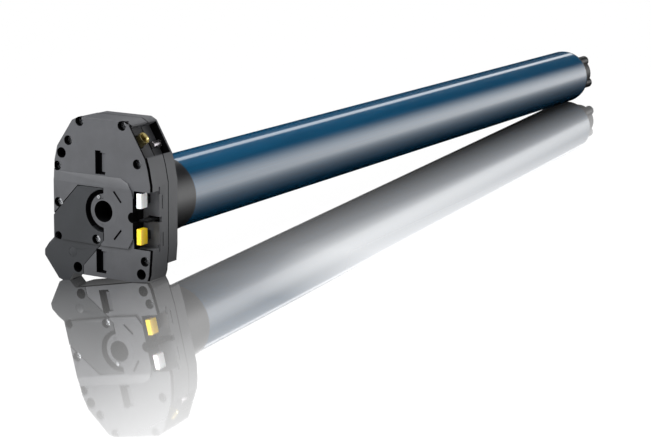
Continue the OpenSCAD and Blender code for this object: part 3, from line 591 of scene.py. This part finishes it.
@dataclass
class Head:
    """The flat head: front plate, cable cover, two housings, hub and what shows inside."""

    edge_mm: float = 0.3
    fine_edge_mm: float = 0.15
    pin_edge_mm: float = 0.4
    # From skin_mm to marks_mm: the bounds of the head's faces that get painted shade
    skin_mm: float = 1.6
    joint_mm: float = 4.3
    outside_mm: tuple[float, float, float, float, float] = (50.0, -44.0, 33.0, 19.0, 14.0)
    rear_mm: float = 29.5
    slot_y_mm: tuple[float, float] = (-2.5, 7.0)
    slots_mm: tuple[tuple[float, float], ...] = ((22.3, 36.8), (-39.0, -24.2))
    slot_end_mm: float = 8.0
    holes_mm: tuple[tuple[float, float], ...] = (
        (32.1, 32.8), (-26.8, -36.1), (-21.4, -1.5), (34.5, -19.2), (20.8, -37.7))
    hole_reach_mm: float = 3.5
    ledge_y_mm: float = -15.0
    ledge_z_mm: tuple[float, float] = (30.0, 44.0)
    bore_mm: float = 8.6
    bore_floor_mm: float = 3.0
    web_end_mm: float = 13.0
    mark_x_mm: tuple[float, float] = (0.3, 1.1)
    mark_y_mm: tuple[float, float] = (-14.0, -7.0)
    marks_mm: tuple[tuple[float, float], ...] = ((6.0, 14.0), (-17.0, -9.5))
    # The black tubes that paint the shade in the plate's screw holes
    sleeve_x_mm: tuple[float, float] = (1.75, 5.7)
    sleeve_r_mm: float = 2.97
    sleeve_wall_mm: float = 0.25
    sleeve_edge_mm: tuple[float, float] = (38.05, 55.95)
    gasket_x_mm: tuple[float, float] = (20.35, 21.1)
    gasket_proud_mm: float = 0.04
    plug_x_mm: tuple[float, float] = (1.22, 1.95)
    plug_r_mm: float = 2.93
    plug_edge_mm: float = 0.12
    round_steps: int = 48

    def in_hole(self, centre: Vector) -> bool:
        """Tells whether a face lies in one of the fixing and spare holes."""
        return any(math.hypot(centre.y - y, centre.z - z) < self.hole_reach_mm
                   for y, z in self.holes_mm)

    def in_slot(self, centre: Vector) -> bool:
        """Tells whether a face lies in one of the two slots."""
        return self.slot_y_mm[0] < centre.y < self.slot_y_mm[1] and any(
            low - 1 < centre.z < high + 1 for low, high in self.slots_mm)

    def in_mark(self, centre: Vector) -> bool:
        """Tells whether a face lies in one of the two slanted grooves beside the hub."""
        return (self.mark_x_mm[0] < centre.x < self.mark_x_mm[1]
                and self.mark_y_mm[0] < centre.y < self.mark_y_mm[1]
                and any(low < centre.z < high for low, high in self.marks_mm))

    def painted_shade_front(self, centre: Vector, normal: Vector) -> bool:
        """Tells the groove, gap and hole walls of the front and the two slanted grooves, which
        get painted shade.

        Args:
            centre: The face's middle in mm.
            normal: The way it faces.

        Returns:
            Whether it is one of them.
        """
        wall = abs(normal.x) < 0.5 and self.skin_mm < centre.x < self.joint_mm
        top, bottom, left, flank_y, flank_z = self.outside_mm
        outside = (normal.z > 0.5 and centre.z > top or normal.z < -0.5 and centre.z < bottom
                   or normal.y > 0.2 and (centre.y > left
                                          or centre.y > flank_y and centre.z > flank_z))
        return wall and not outside or self.in_mark(centre)

    def painted_shade_mid(self, centre: Vector, normal: Vector) -> bool:
        """Tells the housing's joint face and the bottoms and walls of its holes and slots, which
        get painted shade, and the ledge below the socket.

        Args:
            centre: The face's middle in mm.
            normal: The way it faces.

        Returns:
            Whether it is one of them.
        """
        joint = normal.x < -0.9 and centre.x < self.joint_mm
        hole = self.in_hole(centre) or self.in_slot(centre) and centre.x < self.slot_end_mm
        return joint or hole or self.under_socket(centre, normal)

    def under_socket(self, centre: Vector, normal: Vector) -> bool:
        """Tells the ledge below the override's socket, painted dark as the shade of its pocket.
        """
        low, high = self.ledge_z_mm
        return normal.y > 0.3 and low < centre.z < high and centre.y < self.ledge_y_mm

    def painted_shade_rear(self, centre: Vector, normal: Vector) -> bool:
        """Tells the wall behind the override's pocket, painted dark as shade, and the ledge below
        its socket.
        """
        back = normal.x < -0.9 and centre.x < self.rear_mm
        return back or self.under_socket(centre, normal)

    def painted_shade_web(self, centre: Vector, normal: Vector) -> bool:
        """Tells the web between the buttons, but for its top, which gets painted shade."""
        return centre.x < self.web_end_mm and normal.z < 0.5

    def painted_shade_bore(self, centre: Vector, normal: Vector) -> bool:
        """Tells the inside of the hub's bore, which gets painted shade."""
        near = math.hypot(centre.y, centre.z) < self.bore_mm
        return near and (abs(normal.x) < 0.5 or centre.x > self.bore_floor_mm)

    def build(self) -> list[bpy.types.Object]:
        """Builds the head's shells.

        Returns:
            The new pieces.
        """
        # The second finish on the faces that each test picks is painted shade in grooves, gaps,
        # holes, the bore and pockets, and on the web
        pieces = [
            cad_copy("front_plate", HOUSING, self.edge_mm, SEAL_AND_PAINTED_SHADE, self.painted_shade_front),
            cad_copy("cable_cover", COVER, self.edge_mm, SEAL_AND_PAINTED_SHADE, self.painted_shade_front),
            cad_copy("mid_housing", HOUSING, self.edge_mm, SEAL_AND_PAINTED_SHADE, self.painted_shade_mid),
            cad_copy("rear_housing", HOUSING, self.edge_mm, SEAL_AND_PAINTED_SHADE, self.painted_shade_rear),
            cad_copy("hub_bush", HOUSING, self.fine_edge_mm, SEAL_AND_PAINTED_SHADE, self.painted_shade_bore),
            cad_copy("switch_block", BLACK_PBT_AND_PAINTED_SHADE, self.fine_edge_mm, SEAL_AND_PAINTED_SHADE, self.painted_shade_web),
            cad_copy("retaining_pin", PIN_STEEL, self.pin_edge_mm),
        ]
        paint("power_socket", BLACK_PBT_AND_PAINTED_SHADE)
        paint("socket_pins", BRASS)
        paint("worm_bushes", BRASS)
        pieces += [self.hole_shade(), self.plug(), self.gasket()]
        return pieces

    def gasket(self) -> bpy.types.Object:
        """Cuts the black gasket between the housings from the middle one's own outline.

        Returns:
            The gasket.
        """
        mesh = bmesh.new()
        mesh.from_mesh(frame["nodes"]["mid_housing"].data)
        bmesh.ops.remove_doubles(mesh, verts=mesh.verts, dist=0.002 * MM)
        front, back = (x * MM for x in self.gasket_x_mm)
        bmesh.ops.bisect_plane(
            mesh, geom=mesh.verts[:] + mesh.edges[:] + mesh.faces[:], plane_co=(front, 0, 0),
            plane_no=(-1, 0, 0), clear_outer=True)
        bmesh.ops.triangle_fill(mesh, edges=[e for e in mesh.edges if e.is_boundary])
        mesh.normal_update()
        low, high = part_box("mid_housing")
        out = {v: v.normal.copy() for v in mesh.verts}
        for vert, normal in out.items():
            normal.x = 0
            if normal.length > 0.1:
                vert.co += normal.normalized() * self.gasket_proud_mm * MM
            vert.co.y = min(max(vert.co.y, low.y), high.y)
            vert.co.z = min(vert.co.z, high.z)
            if vert.co.x > front + 0.1 * MM:
                vert.co.x = back
        bmesh.ops.recalc_face_normals(mesh, faces=mesh.faces)
        gasket = make_object("housing_gasket", mesh, SEAL_AND_PAINTED_SHADE)
        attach(gasket, "head")
        return gasket

    def hole_shade(self) -> bpy.types.Object:
        """Lines the plate's screw holes with thin black tubes, flattened at its edge, as painted
        shade in the holes.

        Returns:
            The black tubes.
        """
        mesh = bmesh.new()
        depth = self.sleeve_x_mm[1] - self.sleeve_x_mm[0]
        for low, high in island_boxes("plate_screws"):
            middle = (low + high) / 2
            middle.x = sum(self.sleeve_x_mm) / 2 * MM
            turn = Matrix.Translation(middle) @ Matrix.Rotation(math.pi / 2, 4, "Y")
            tube = bmesh.ops.create_cone(
                mesh, cap_ends=False, segments=self.round_steps,
                radius1=self.sleeve_r_mm * MM, radius2=self.sleeve_r_mm * MM,
                depth=depth * MM, matrix=turn)
            for vert in tube["verts"]:
                vert.co.y = min(vert.co.y, self.sleeve_edge_mm[0] * MM)
                vert.co.z = min(vert.co.z, self.sleeve_edge_mm[1] * MM)
            faces = list({f for v in tube["verts"] for f in v.link_faces})
            bmesh.ops.solidify(mesh, geom=faces, thickness=self.sleeve_wall_mm * MM)
        bmesh.ops.recalc_face_normals(mesh, faces=mesh.faces)
        hole_shade = make_object("screw_hole_shade", mesh, SEAL_AND_PAINTED_SHADE)
        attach(hole_shade, "head")
        return hole_shade

    def plug(self) -> bpy.types.Object:
        """Closes the lowest cover screw's hole with a flush plug of the cover's plastic.

        Returns:
            The plug.
        """
        low, high = min(island_boxes("cover_screws"), key=lambda pair: pair[0].z)
        middle = (low + high) / 2
        front, back = self.plug_x_mm
        middle.x = (front + back) / 2 * MM
        mesh = bmesh.new()
        bmesh.ops.create_cone(
            mesh, cap_ends=True, segments=self.round_steps, radius1=self.plug_r_mm * MM,
            radius2=self.plug_r_mm * MM, depth=(back - front) * MM,
            matrix=Matrix.Translation(middle) @ Matrix.Rotation(math.pi / 2, 4, "Y"))
        rims = [e for e in mesh.edges if e.calc_face_angle() > 1]
        bmesh.ops.bevel(mesh, geom=rims, offset=self.plug_edge_mm * MM, segments=2,
                        profile=0.5, affect="EDGES", material=-1)
        plug = make_object("cover_plug", mesh, COVER)
        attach(plug, "head")
        return plug


@dataclass
class Screws:
    """Cross-recessed pan-head screws that hold the head together.

    Sizes without mm are shares of the screw head's radius.
    """

    recess_reach: float = 0.62
    recess_half: float = 0.16
    recess_deep: float = 0.42
    recess_taper: float = 0.72
    dome: float = 0.34
    crown_reach: float = 0.86
    crown_deep: float = 0.06
    head_deep: float = 0.6
    shank_reach: float = 0.62
    shank_short_mm: float = 2.0
    steps: int = 40

    def cross(self, radius: float) -> list[tuple[float, float]]:
        """Works out the corners of the cross recess.

        Args:
            radius: The screw head's radius.

        Returns:
            Y and Z of each corner from the screw's axis, in order round it.
        """
        half, reach = radius * self.recess_half, radius * self.recess_reach
        corners = []
        for quarter in range(4):
            angle = math.radians(45 + 90 * quarter)
            for along, side in ((half, half), (reach, half), (reach, -half)):
                y = along * math.cos(angle) - side * math.sin(angle)
                z = along * math.sin(angle) + side * math.cos(angle)
                corners.append((math.atan2(z, y), y, z))
        return [(y, z) for _, y, z in sorted(corners)]

    def draw_out(self, mesh: bmesh.types.BMesh, edges: list[bmesh.types.BMEdge],
                 centre: Vector, deep: float, share: float) -> tuple[list[Any], list[Any]]:
        """Draws a ring of edges out to another ring, deeper or shallower and wider or narrower.

        Args:
            mesh: The mesh that holds the ring.
            edges: The ring's edges.
            centre: The middle of the screw's top.
            deep: How far behind the middle the new ring lies.
            share: The new ring's reach as a share of the old one's.

        Returns:
            The new ring's vertices and edges.
        """
        parts = bmesh.ops.extrude_edge_only(mesh, edges=edges)["geom"]
        verts = [part for part in parts if isinstance(part, bmesh.types.BMVert)]
        for vert in verts:
            arm = (vert.co - centre) * share
            vert.co = centre + Vector((deep, arm.y, arm.z))
        return verts, [part for part in parts if isinstance(part, bmesh.types.BMEdge)]

    def screw(self, mesh: bmesh.types.BMesh, low: Vector, high: Vector) -> None:
        """Adds one screw: a domed head with a cross recess, and its shank.

        Args:
            mesh: The mesh that gets the screw.
            low: Lowest corner of the CAD screw.
            high: Highest corner of the CAD screw.
        """
        centre = Vector((low.x, (low.y + high.y) / 2, (low.z + high.z) / 2))
        radius = (high.y - low.y) / 2
        turn = Matrix.Translation(centre) @ Matrix.Rotation(math.pi / 2, 4, "Y")
        rim = bmesh.ops.create_circle(mesh, segments=self.steps, radius=radius,
                                      matrix=turn)["verts"]
        rim_edges = sorted({e for v in rim for e in v.link_edges}, key=lambda e: e.index)
        for vert in rim:
            vert.co.x += radius * self.dome

        _, crown = self.draw_out(mesh, rim_edges, centre, radius * self.crown_deep,
                                 self.crown_reach)
        cross = [mesh.verts.new(centre + Vector((0, y, z))) for y, z in self.cross(radius)]
        cross_edges = [mesh.edges.new((cross[i], cross[(i + 1) % len(cross)]))
                       for i in range(len(cross))]
        bmesh.ops.bridge_loops(mesh, edges=crown + cross_edges)
        floor, _ = self.draw_out(mesh, cross_edges, centre, radius * self.recess_deep,
                                 self.recess_taper)
        bmesh.ops.contextual_create(mesh, geom=floor)
        base, _ = self.draw_out(mesh, rim_edges, centre, radius * self.head_deep, 1.0)
        bmesh.ops.contextual_create(mesh, geom=base)
        long = high.x - low.x
        shank = Matrix.Translation(centre + Vector((long / 2, 0, 0)))
        bmesh.ops.create_cone(
            mesh, cap_ends=True, segments=self.steps // 2, radius1=radius * self.shank_reach,
            radius2=radius * self.shank_reach, depth=long - self.shank_short_mm * MM,
            matrix=shank @ Matrix.Rotation(math.pi / 2, 4, "Y"))

    def build(self) -> list[bpy.types.Object]:
        """Builds both sets of screws and the small one in the hub.

        Returns:
            The new pieces.
        """
        pieces = []
        for node in ("plate_screws", "cover_screws", "hub_screw"):
            mesh = bmesh.new()
            for low, high in island_boxes(node):
                self.screw(mesh, low, high)
            bmesh.ops.recalc_face_normals(mesh, faces=mesh.faces)
            piece = make_object(f"{node}_dressed", mesh, SCREW_STEEL)
            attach(piece, "head")
            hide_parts(node)
            pieces.append(piece)
        return pieces


@dataclass
class Buttons:
    """The two limit buttons, white above yellow."""

    edge_mm: float = 0.35
    cap_end_mm: float = 8.0

    def painted_shade_foot(self, centre: Vector, normal: Vector) -> bool:
        """Tells the foot behind a button's cap, which is blackened as painted shade."""
        return centre.x > self.cap_end_mm

    def build(self) -> list[bpy.types.Object]:
        """Builds the buttons.

        Returns:
            The new pieces.
        """
        # The black on each button's foot behind its cap is painted shade
        return [cad_copy("white_button", WHITE, self.edge_mm, BLACK_PBT_AND_PAINTED_SHADE, self.painted_shade_foot),
                cad_copy("yellow_button", YELLOW, self.edge_mm, BLACK_PBT_AND_PAINTED_SHADE, self.painted_shade_foot)]


@dataclass
class Override:
    """The brass override socket and the worm behind it."""

    edge_mm: float = 0.25

    def build(self) -> list[bpy.types.Object]:
        """Builds the socket.

        Returns:
            The new pieces.
        """
        paint("override_worm", GEAR_STEEL)
        return [cad_copy("override_socket", BRASS, self.edge_mm)]


@dataclass
class LimitRing:
    """The ring that the roller tube's adapter turns, and its pinion."""

    edge_mm: float = 0.3

    def build(self) -> list[bpy.types.Object]:
        """Builds the ring.

        Returns:
            The new pieces.
        """
        paint("limit_pinion", WHITE)
        return [cad_copy("limit_ring", RING_BLACK, self.edge_mm)]


@dataclass
class MotorTube:
    """The long enamelled tube, its ends turned square and their edges broken."""

    steps: int = 192
    wall_mm: float = 1.5
    break_mm: float = 0.35
    smooth_deg: float = 40.0

    def build(self) -> list[bpy.types.Object]:
        """Builds the tube.

        Returns:
            The new piece.
        """
        low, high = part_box("motor_tube")
        x0, x1, outer = low.x / MM, high.x / MM, high.z / MM
        inner = outer - self.wall_mm
        cut = self.break_mm
        turn = 0.3 * cut
        # The second ring from each end keeps the broken edge's shading off the tube
        hold = 3 * cut
        profile = [(x0, inner), (x0, outer - cut), (x0 + turn, outer - turn),
                   (x0 + cut, outer), (x0 + hold, outer), (x1 - hold, outer),
                   (x1 - cut, outer), (x1 - turn, outer - turn), (x1, outer - cut),
                   (x1, inner)]
        tube = make_object("motor_tube_dressed", spun(profile, self.steps), BLUE,
                           self.smooth_deg)
        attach(tube, "tube")
        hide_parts("motor_tube")
        return [tube]


@dataclass
class Inside:
    """What the tube holds, from the worm wheel to the planetary gearbox."""

    finishes: dict[str, Finish] = field(default_factory=lambda: {
        "tube_stub": ZINC, "worm_wheel": BRASS, "wheel_clip": SCREW_STEEL,
        "capacitor_holder": BLACK_PBT_AND_PAINTED_SHADE, "capacitor": CAN, "brake_housing": ZINC,
        "brake_coil": COPPER, "brake_disc": GEAR_STEEL, "rear_bell": ZINC,
        "front_bell": ZINC, "motor_bearings": SCREW_STEEL, "stator_core": SHEETS,
        "stator_windings": COPPER, "rotor_core": SHEETS, "rotor_shaft": GEAR_STEEL,
        "gearbox_ring": ZINC, "carrier_1": GEAR_STEEL, "carrier_2": GEAR_STEEL,
        "output_carrier": GEAR_STEEL})

    def build(self) -> list[bpy.types.Object]:
        """Dresses the inner nodes, which keep their CAD shapes.

        Returns:
            No new pieces.
        """
        for node, finish in self.finishes.items():
            paint(node, finish)
        for node in frame["nodes"]:
            if node.startswith("planet_"):
                paint(node, GEAR_STEEL)
        return []


@dataclass
class DriveEnd:
    """The bush in the tube's far end and the lobed wheel that turns the roller tube."""

    bush_edge_mm: float = 0.3
    wheel_edge_mm: float = 0.5
    screw_edge_mm: float = 0.4

    def build(self) -> list[bpy.types.Object]:
        """Builds the drive end.

        Returns:
            The new pieces.
        """
        return [cad_copy("end_bush", DRIVE_BLACK, self.bush_edge_mm),
                cad_copy("drive_wheel", DRIVE_BLACK, self.wheel_edge_mm),
                cad_copy("drive_screw", SCREW_STEEL, self.screw_edge_mm)]


@dataclass
class Studio:
    """A pale polished floor, a white surround, soft lamps, and cards that shape their glints.

    The cards show only in the object's gloss and light nothing: a black tent over the tube gives
    painted dark reflections, and a soft box beside it and a strip above it give painted
    highlights. The floor sees the tent as white. Lengths without mm are in metres, and a card's
    angles are in degrees from -Y over the top.
    """

    floor_z_mm: float = -44.1
    slope_x: float = 0.0284
    slope_y: float = -0.103
    reach: float = 6.0
    # How fast the mirrored height grows before the head and beside it, and how much of the
    # second holds before the head
    fade_x: float = -0.25
    fade_y: float = -0.72
    fade_before: float = 0.55
    pull_x: tuple[float, float] = (-0.02, 0.1)
    shift_y: float = 0.01
    # How strongly the floor mirrors what stands how many mm above it
    fade_mm: float = 200.0
    polish_steps: tuple[tuple[float, float], ...] = (
        (0, 0.99), (27, 0.9), (45, 0.83), (62, 0.67), (79, 0.53), (96, 0.42), (132, 0.22),
        (185, 0.0))
    polish_rough: float = 0.03
    glow_level: float = 0.75
    sheet_grey: float = 0.4
    # Where the object's gloss and its shaded side see the floor's light end
    lit_y: tuple[float, float] = (-0.15, -0.015)
    seen_x: tuple[float, float] = (-0.05, 0.06)
    bounce_x: tuple[float, float] = (-0.1, 0.0)
    # The sheet's bounce under the object is painted shade
    painted_shade_under: float = 0.25
    ambient: float = 0.4
    tent_radius: float = 0.9
    card_gap: float = 0.05
    tent_ends: tuple[float, float] = (-0.1, 6.0)
    tent_deg: tuple[float, float] = (3, 191)
    box_deg: tuple[float, float] = (3, 75)
    box_middle_deg: float = 0.0
    box_half_deg: float = 64.0
    box_soft: float = 0.9
    box_level: float = 2.1
    strip_deg: tuple[float, float] = (105, 135)
    strip_middle_deg: float = 121.0
    strip_half_deg: float = 11.0
    strip_soft: float = 0.6
    strip_level: float = 1.8
    facets: tuple[int, int, int] = (48, 36, 16)
    aim: tuple[float, float, float] = (0.1, 0.0, 0.0)
    key_place: tuple[float, float, float] = (-1.2, 0.7, 1.3)
    key_size: float = 1.0
    key_watts: float = 52.0
    top_place: tuple[float, float, float] = (0.2, 0.1, 1.9)
    top_size: float = 1.2
    top_watts: float = 32.0

    def floor(self) -> bpy.types.Object:
        """Lays the floor that the head's lobe and the tube's far end stand on.

        Returns:
            The floor.
        """
        mesh = bmesh.new()
        bmesh.ops.create_grid(mesh, x_segments=1, y_segments=1, size=self.reach)
        for vert in mesh.verts:
            vert.co.z = self.floor_z_mm * MM + self.slope_x * vert.co.x + self.slope_y * vert.co.y
        material = bpy.data.materials.new("polished white acrylic sheet")
        tree = empty_tree(material)
        place = add_node(tree, "ShaderNodeTexCoord").outputs["Object"]
        parts = add_node(tree, "ShaderNodeSeparateXYZ", {0: place})
        x, y = parts.outputs["X"], parts.outputs["Y"]
        # What the floor mirrors fades with its height above the floor
        before = add_node(tree, "ShaderNodeMath", {0: x, 1: self.fade_x}, operation="MULTIPLY")
        shade_y = add_node(tree, "ShaderNodeMath", {0: y, 1: self.shift_y}, operation="ADD")
        pull = add_node(tree, "ShaderNodeMapRange", {
            "Value": x, "From Min": self.pull_x[0], "From Max": self.pull_x[1],
            "To Min": self.fade_before * self.fade_y, "To Max": self.fade_y})
        beside = add_node(tree, "ShaderNodeMath", {
            0: shade_y.outputs[0], 1: pull.outputs[0]}, operation="MULTIPLY")
        height = add_node(tree, "ShaderNodeMath", {
            0: before.outputs[0], 1: beside.outputs[0]}, operation="MAXIMUM")
        share = add_node(tree, "ShaderNodeMath", {
            0: height.outputs[0], 1: 1 / (self.fade_mm * MM)}, operation="MULTIPLY")
        steps = [(high / self.fade_mm, (grey, grey, grey, 1))
                 for high, grey in self.polish_steps]
        polish = add_node(tree, "ShaderNodeValToRGB", {"Fac": share.outputs[0]}, stops=steps)
        # What the object's gloss sees of the floor is painted light: white before the head, a
        # painted pool of the soft box's light beside the tube, and painted shade where the tube's
        # shade falls
        lit = add_node(tree, "ShaderNodeMapRange", {
            "Value": y, "From Min": self.lit_y[0], "From Max": self.lit_y[1],
            "To Min": self.box_level, "To Max": 0.0}, interpolation_type="SMOOTHSTEP")
        seen = add_node(tree, "ShaderNodeMapRange", {
            "Value": x, "From Min": self.seen_x[0], "From Max": self.seen_x[1],
            "To Min": 1.0, "To Max": lit.outputs[0]})
        glow = add_node(tree, "ShaderNodeEmission", {
            "Color": (1, 1, 1, 1), "Strength": self.glow_level})
        grey = self.sheet_grey
        shade = add_node(tree, "ShaderNodeBsdfDiffuse", {"Color": (grey, grey, grey, 1)})
        top = add_node(tree, "ShaderNodeAddShader", {0: glow.outputs[0], 1: shade.outputs[0]})
        shine = add_node(tree, "ShaderNodeBsdfGlossy", {
            "Color": (1, 1, 1, 1), "Roughness": self.polish_rough})
        mirror = add_node(tree, "ShaderNodeMixShader", {
            0: polish.outputs[0], 1: top.outputs[0], 2: shine.outputs[0]})
        # The sheet bounces light at the head's front, and little under the object, where its
        # colour is painted shade
        bounce = add_node(tree, "ShaderNodeMapRange", {
            "Value": x, "From Min": self.bounce_x[0], "From Max": self.bounce_x[1],
            "To Min": 1.0, "To Max": self.painted_shade_under})
        matt = add_node(tree, "ShaderNodeBsdfDiffuse", {"Color": bounce.outputs[0]})
        gloss_view = add_node(tree, "ShaderNodeEmission", {
            "Color": (1, 1, 1, 1), "Strength": seen.outputs[0]})
        path = add_node(tree, "ShaderNodeLightPath")
        gloss_or_matt = add_node(tree, "ShaderNodeMixShader", {
            0: path.outputs["Is Glossy Ray"], 1: matt.outputs[0], 2: gloss_view.outputs[0]})
        both = add_node(tree, "ShaderNodeMixShader", {
            0: path.outputs["Is Camera Ray"], 1: gloss_or_matt.outputs[0],
            2: mirror.outputs[0]})
        add_node(tree, "ShaderNodeOutputMaterial", {"Surface": both.outputs[0]})
        material.cycles.emission_sampling = "NONE"
        return self.place("floor", mesh, material)

    def place(self, name: str, mesh: bmesh.types.BMesh,
              material: bpy.types.Material) -> bpy.types.Object:
        """Sets a stage mesh in the scene.

        Args:
            name: The mesh's name.
            mesh: The shape, which is freed.
            material: Its material.

        Returns:
            The new object.
        """
        data = bpy.data.meshes.new(name)
        mesh.to_mesh(data)
        mesh.free()
        data.materials.append(material)
        piece = bpy.data.objects.new(name, data)
        bpy.context.scene.collection.objects.link(piece)
        return piece

    def card(self, name: str, radius: float, angles: tuple[float, float], steps: int,
             material: bpy.types.Material) -> bpy.types.Object:
        """Bends a card round the tube's axis, for the object's gloss alone.

        Args:
            name: The card's name.
            radius: Its distance from the axis.
            angles: Where it starts and ends, in degrees from -Y over the top.
            steps: Its facets.
            material: Its material.

        Returns:
            The card.
        """
        mesh = bmesh.new()
        low, high = (math.radians(a) for a in angles)
        ends = [mesh.verts.new((x, -radius * math.cos(low), radius * math.sin(low)))
                for x in self.tent_ends]
        edge = mesh.edges.new(ends)
        bmesh.ops.spin(mesh, geom=ends + [edge], cent=(0, 0, 0), axis=(-1, 0, 0),
                       angle=high - low, steps=steps)
        card = self.place(name, mesh, material)
        card.visible_camera = False
        card.visible_diffuse = False
        card.visible_shadow = False
        card.visible_transmission = False
        return card

    def card_material(self, name: str, middle_deg: float, half_deg: float, level: float,
                      soft: float) -> bpy.types.Material:
        """Makes a card's glow, a painted highlight which fades to its edges and adds to what is
        behind it.

        Args:
            name: The material's name.
            middle_deg: The angle of its brightest line, from -Y over the top.
            half_deg: How far it reaches to either side.
            level: Its strength there.
            soft: The share of its half width over which it fades.

        Returns:
            The material.
        """
        material = bpy.data.materials.new(name)
        tree = empty_tree(material)
        place = add_node(tree, "ShaderNodeTexCoord").outputs["Object"]
        parts = add_node(tree, "ShaderNodeSeparateXYZ", {0: place})
        side = add_node(tree, "ShaderNodeMath", {0: parts.outputs["Y"], 1: -1.0},
                        operation="MULTIPLY")
        angle = add_node(tree, "ShaderNodeMath", {0: parts.outputs["Z"], 1: side.outputs[0]},
                         operation="ARCTAN2")
        away = add_node(tree, "ShaderNodeMath", {
            0: angle.outputs[0], 1: math.radians(middle_deg)}, operation="SUBTRACT")
        off = add_node(tree, "ShaderNodeMath", {0: away.outputs[0]}, operation="ABSOLUTE")
        fade = add_node(tree, "ShaderNodeMapRange", {
            "Value": off.outputs[0], "From Min": math.radians(half_deg * (1 - soft)),
            "From Max": math.radians(half_deg), "To Min": level, "To Max": 0.0},
            interpolation_type="SMOOTHSTEP")
        glow = add_node(tree, "ShaderNodeEmission", {
            "Color": (1, 1, 1, 1), "Strength": fade.outputs[0]})
        clear = add_node(tree, "ShaderNodeBsdfTransparent", {"Color": (1, 1, 1, 1)})
        both = add_node(tree, "ShaderNodeAddShader", {0: glow.outputs[0], 1: clear.outputs[0]})
        add_node(tree, "ShaderNodeOutputMaterial", {"Surface": both.outputs[0]})
        material.cycles.emission_sampling = "NONE"
        return material

    def cards(self, floor: bpy.types.Object) -> None:
        """Hangs the tent, the soft box and the strip.

        Args:
            floor: The floor, which alone sees the tent's white.
        """
        # The tent glows white for the floor alone, so the object's gloss sees it as a painted
        # dark reflection; the soft box and the strip are painted highlights
        white = bpy.data.materials.new("flag, black to all but the floor")
        tree = empty_tree(white)
        glow = add_node(tree, "ShaderNodeEmission", {"Color": (1, 1, 1, 1), "Strength": 1.0})
        add_node(tree, "ShaderNodeOutputMaterial", {"Surface": glow.outputs[0]})
        white.cycles.emission_sampling = "NONE"
        tent_facets, box_facets, strip_facets = self.facets
        tent = self.card("tent", self.tent_radius + self.card_gap, self.tent_deg,
                         tent_facets, white)
        sees_white = bpy.data.collections.new("sees the tent white")
        sees_white.objects.link(floor)
        tent.light_linking.receiver_collection = sees_white
        cloth = self.card_material("soft box painted highlight", self.box_middle_deg, self.box_half_deg,
                                   self.box_level, self.box_soft)
        self.card("soft box", self.tent_radius, self.box_deg, box_facets, cloth)
        tube = self.card_material("strip painted highlight", self.strip_middle_deg, self.strip_half_deg,
                                  self.strip_level, self.strip_soft)
        self.card("strip", self.tent_radius - self.card_gap, self.strip_deg, strip_facets,
                  tube)

    def world(self) -> None:
        """Surrounds the scene with white, dimmer where it only lights."""
        world = bpy.data.worlds.new("white surround")
        bpy.context.scene.world = world
        tree = empty_tree(world)
        path = add_node(tree, "ShaderNodeLightPath")
        seen = add_node(tree, "ShaderNodeMath", {
            0: path.outputs["Is Camera Ray"], 1: path.outputs["Is Glossy Ray"]},
            operation="MAXIMUM")
        seen = add_node(tree, "ShaderNodeMath", {
            0: seen.outputs[0], 1: path.outputs["Is Transmission Ray"]}, operation="MAXIMUM")
        level = add_node(tree, "ShaderNodeMapRange", {
            "Value": seen.outputs[0], "To Min": self.ambient, "To Max": 1.0})
        back = add_node(tree, "ShaderNodeBackground", {
            "Color": (1, 1, 1, 1), "Strength": level.outputs[0]})
        add_node(tree, "ShaderNodeOutputWorld", {"Surface": back.outputs[0]})

    def lamp(self, name: str, place: Vector, size: float, watts: float) -> None:
        """Hangs a soft square lamp that points at the head.

        Args:
            name: The lamp's name.
            place: Where it hangs.
            size: Its width.
            watts: Its power.
        """
        data = bpy.data.lights.new(name, "AREA")
        data.shape = "SQUARE"
        data.size = size
        data.energy = watts
        lamp = bpy.data.objects.new(name, data)
        lamp.matrix_world = Matrix.Translation(place) @ (
            Vector(self.aim) - place).to_track_quat("-Z", "Y").to_matrix().to_4x4()
        bpy.context.scene.collection.objects.link(lamp)

    def build(self) -> None:
        """Sets the stage and the lamps."""
        self.cards(self.floor())
        self.world()
        self.lamp("key", Vector(self.key_place), self.key_size, self.key_watts)
        self.lamp("top", Vector(self.top_place), self.top_size, self.top_watts)


@dataclass
class PhotoCamera:
    """The camera, worked out from the tube's edges and the head's upright lines."""

    lens_mm: float = 102.77
    place_mm: tuple[float, float, float] = (-891.287, -658.593, 236.809)
    yaw_deg: float = 29.49
    pitch_deg: float = 12.35
    roll_deg: float = 0.80

    def build(self) -> None:
        """Places the camera."""
        yaw, pitch, roll = (math.radians(a) for a in (
            self.yaw_deg, self.pitch_deg, self.roll_deg))
        ahead = Vector((math.cos(pitch) * math.cos(yaw), math.cos(pitch) * math.sin(yaw),
                        -math.sin(pitch)))
        level = Vector((math.sin(yaw), -math.cos(yaw), 0))
        upright = level.cross(ahead)
        right = level * math.cos(roll) + upright * math.sin(roll)
        above = upright * math.cos(roll) - level * math.sin(roll)
        data = bpy.data.cameras.new("photo camera")
        data.lens = self.lens_mm
        data.sensor_width = 36
        data.sensor_fit = "HORIZONTAL"
        data.clip_start = 0.01
        camera = bpy.data.objects.new("photo camera", data)
        turn = Matrix((right, above, -ahead)).transposed().to_4x4()
        camera.matrix_world = Matrix.Translation(Vector(self.place_mm) * MM) @ turn
        bpy.context.scene.collection.objects.link(camera)
        bpy.context.scene.camera = camera


def main() -> None:
    """Builds every sub-assembly in order and reports each piece."""
    logging.basicConfig(level=logging.INFO, format="%(name)s: %(message)s")
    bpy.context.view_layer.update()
    bpy.context.scene.view_settings.view_transform = "Standard"
    PhotoCamera().build()
    Studio().build()
    for assembly in (Head(), Screws(), Buttons(), Override(), LimitRing(), MotorTube(),
                     Inside(), DriveEnd()):
        for piece in assembly.build():
            LOG.info("%s: %s, %d faces", type(assembly).__name__, piece.name,
                     len(piece.data.polygons))


if __name__ == "__main__":
    main()
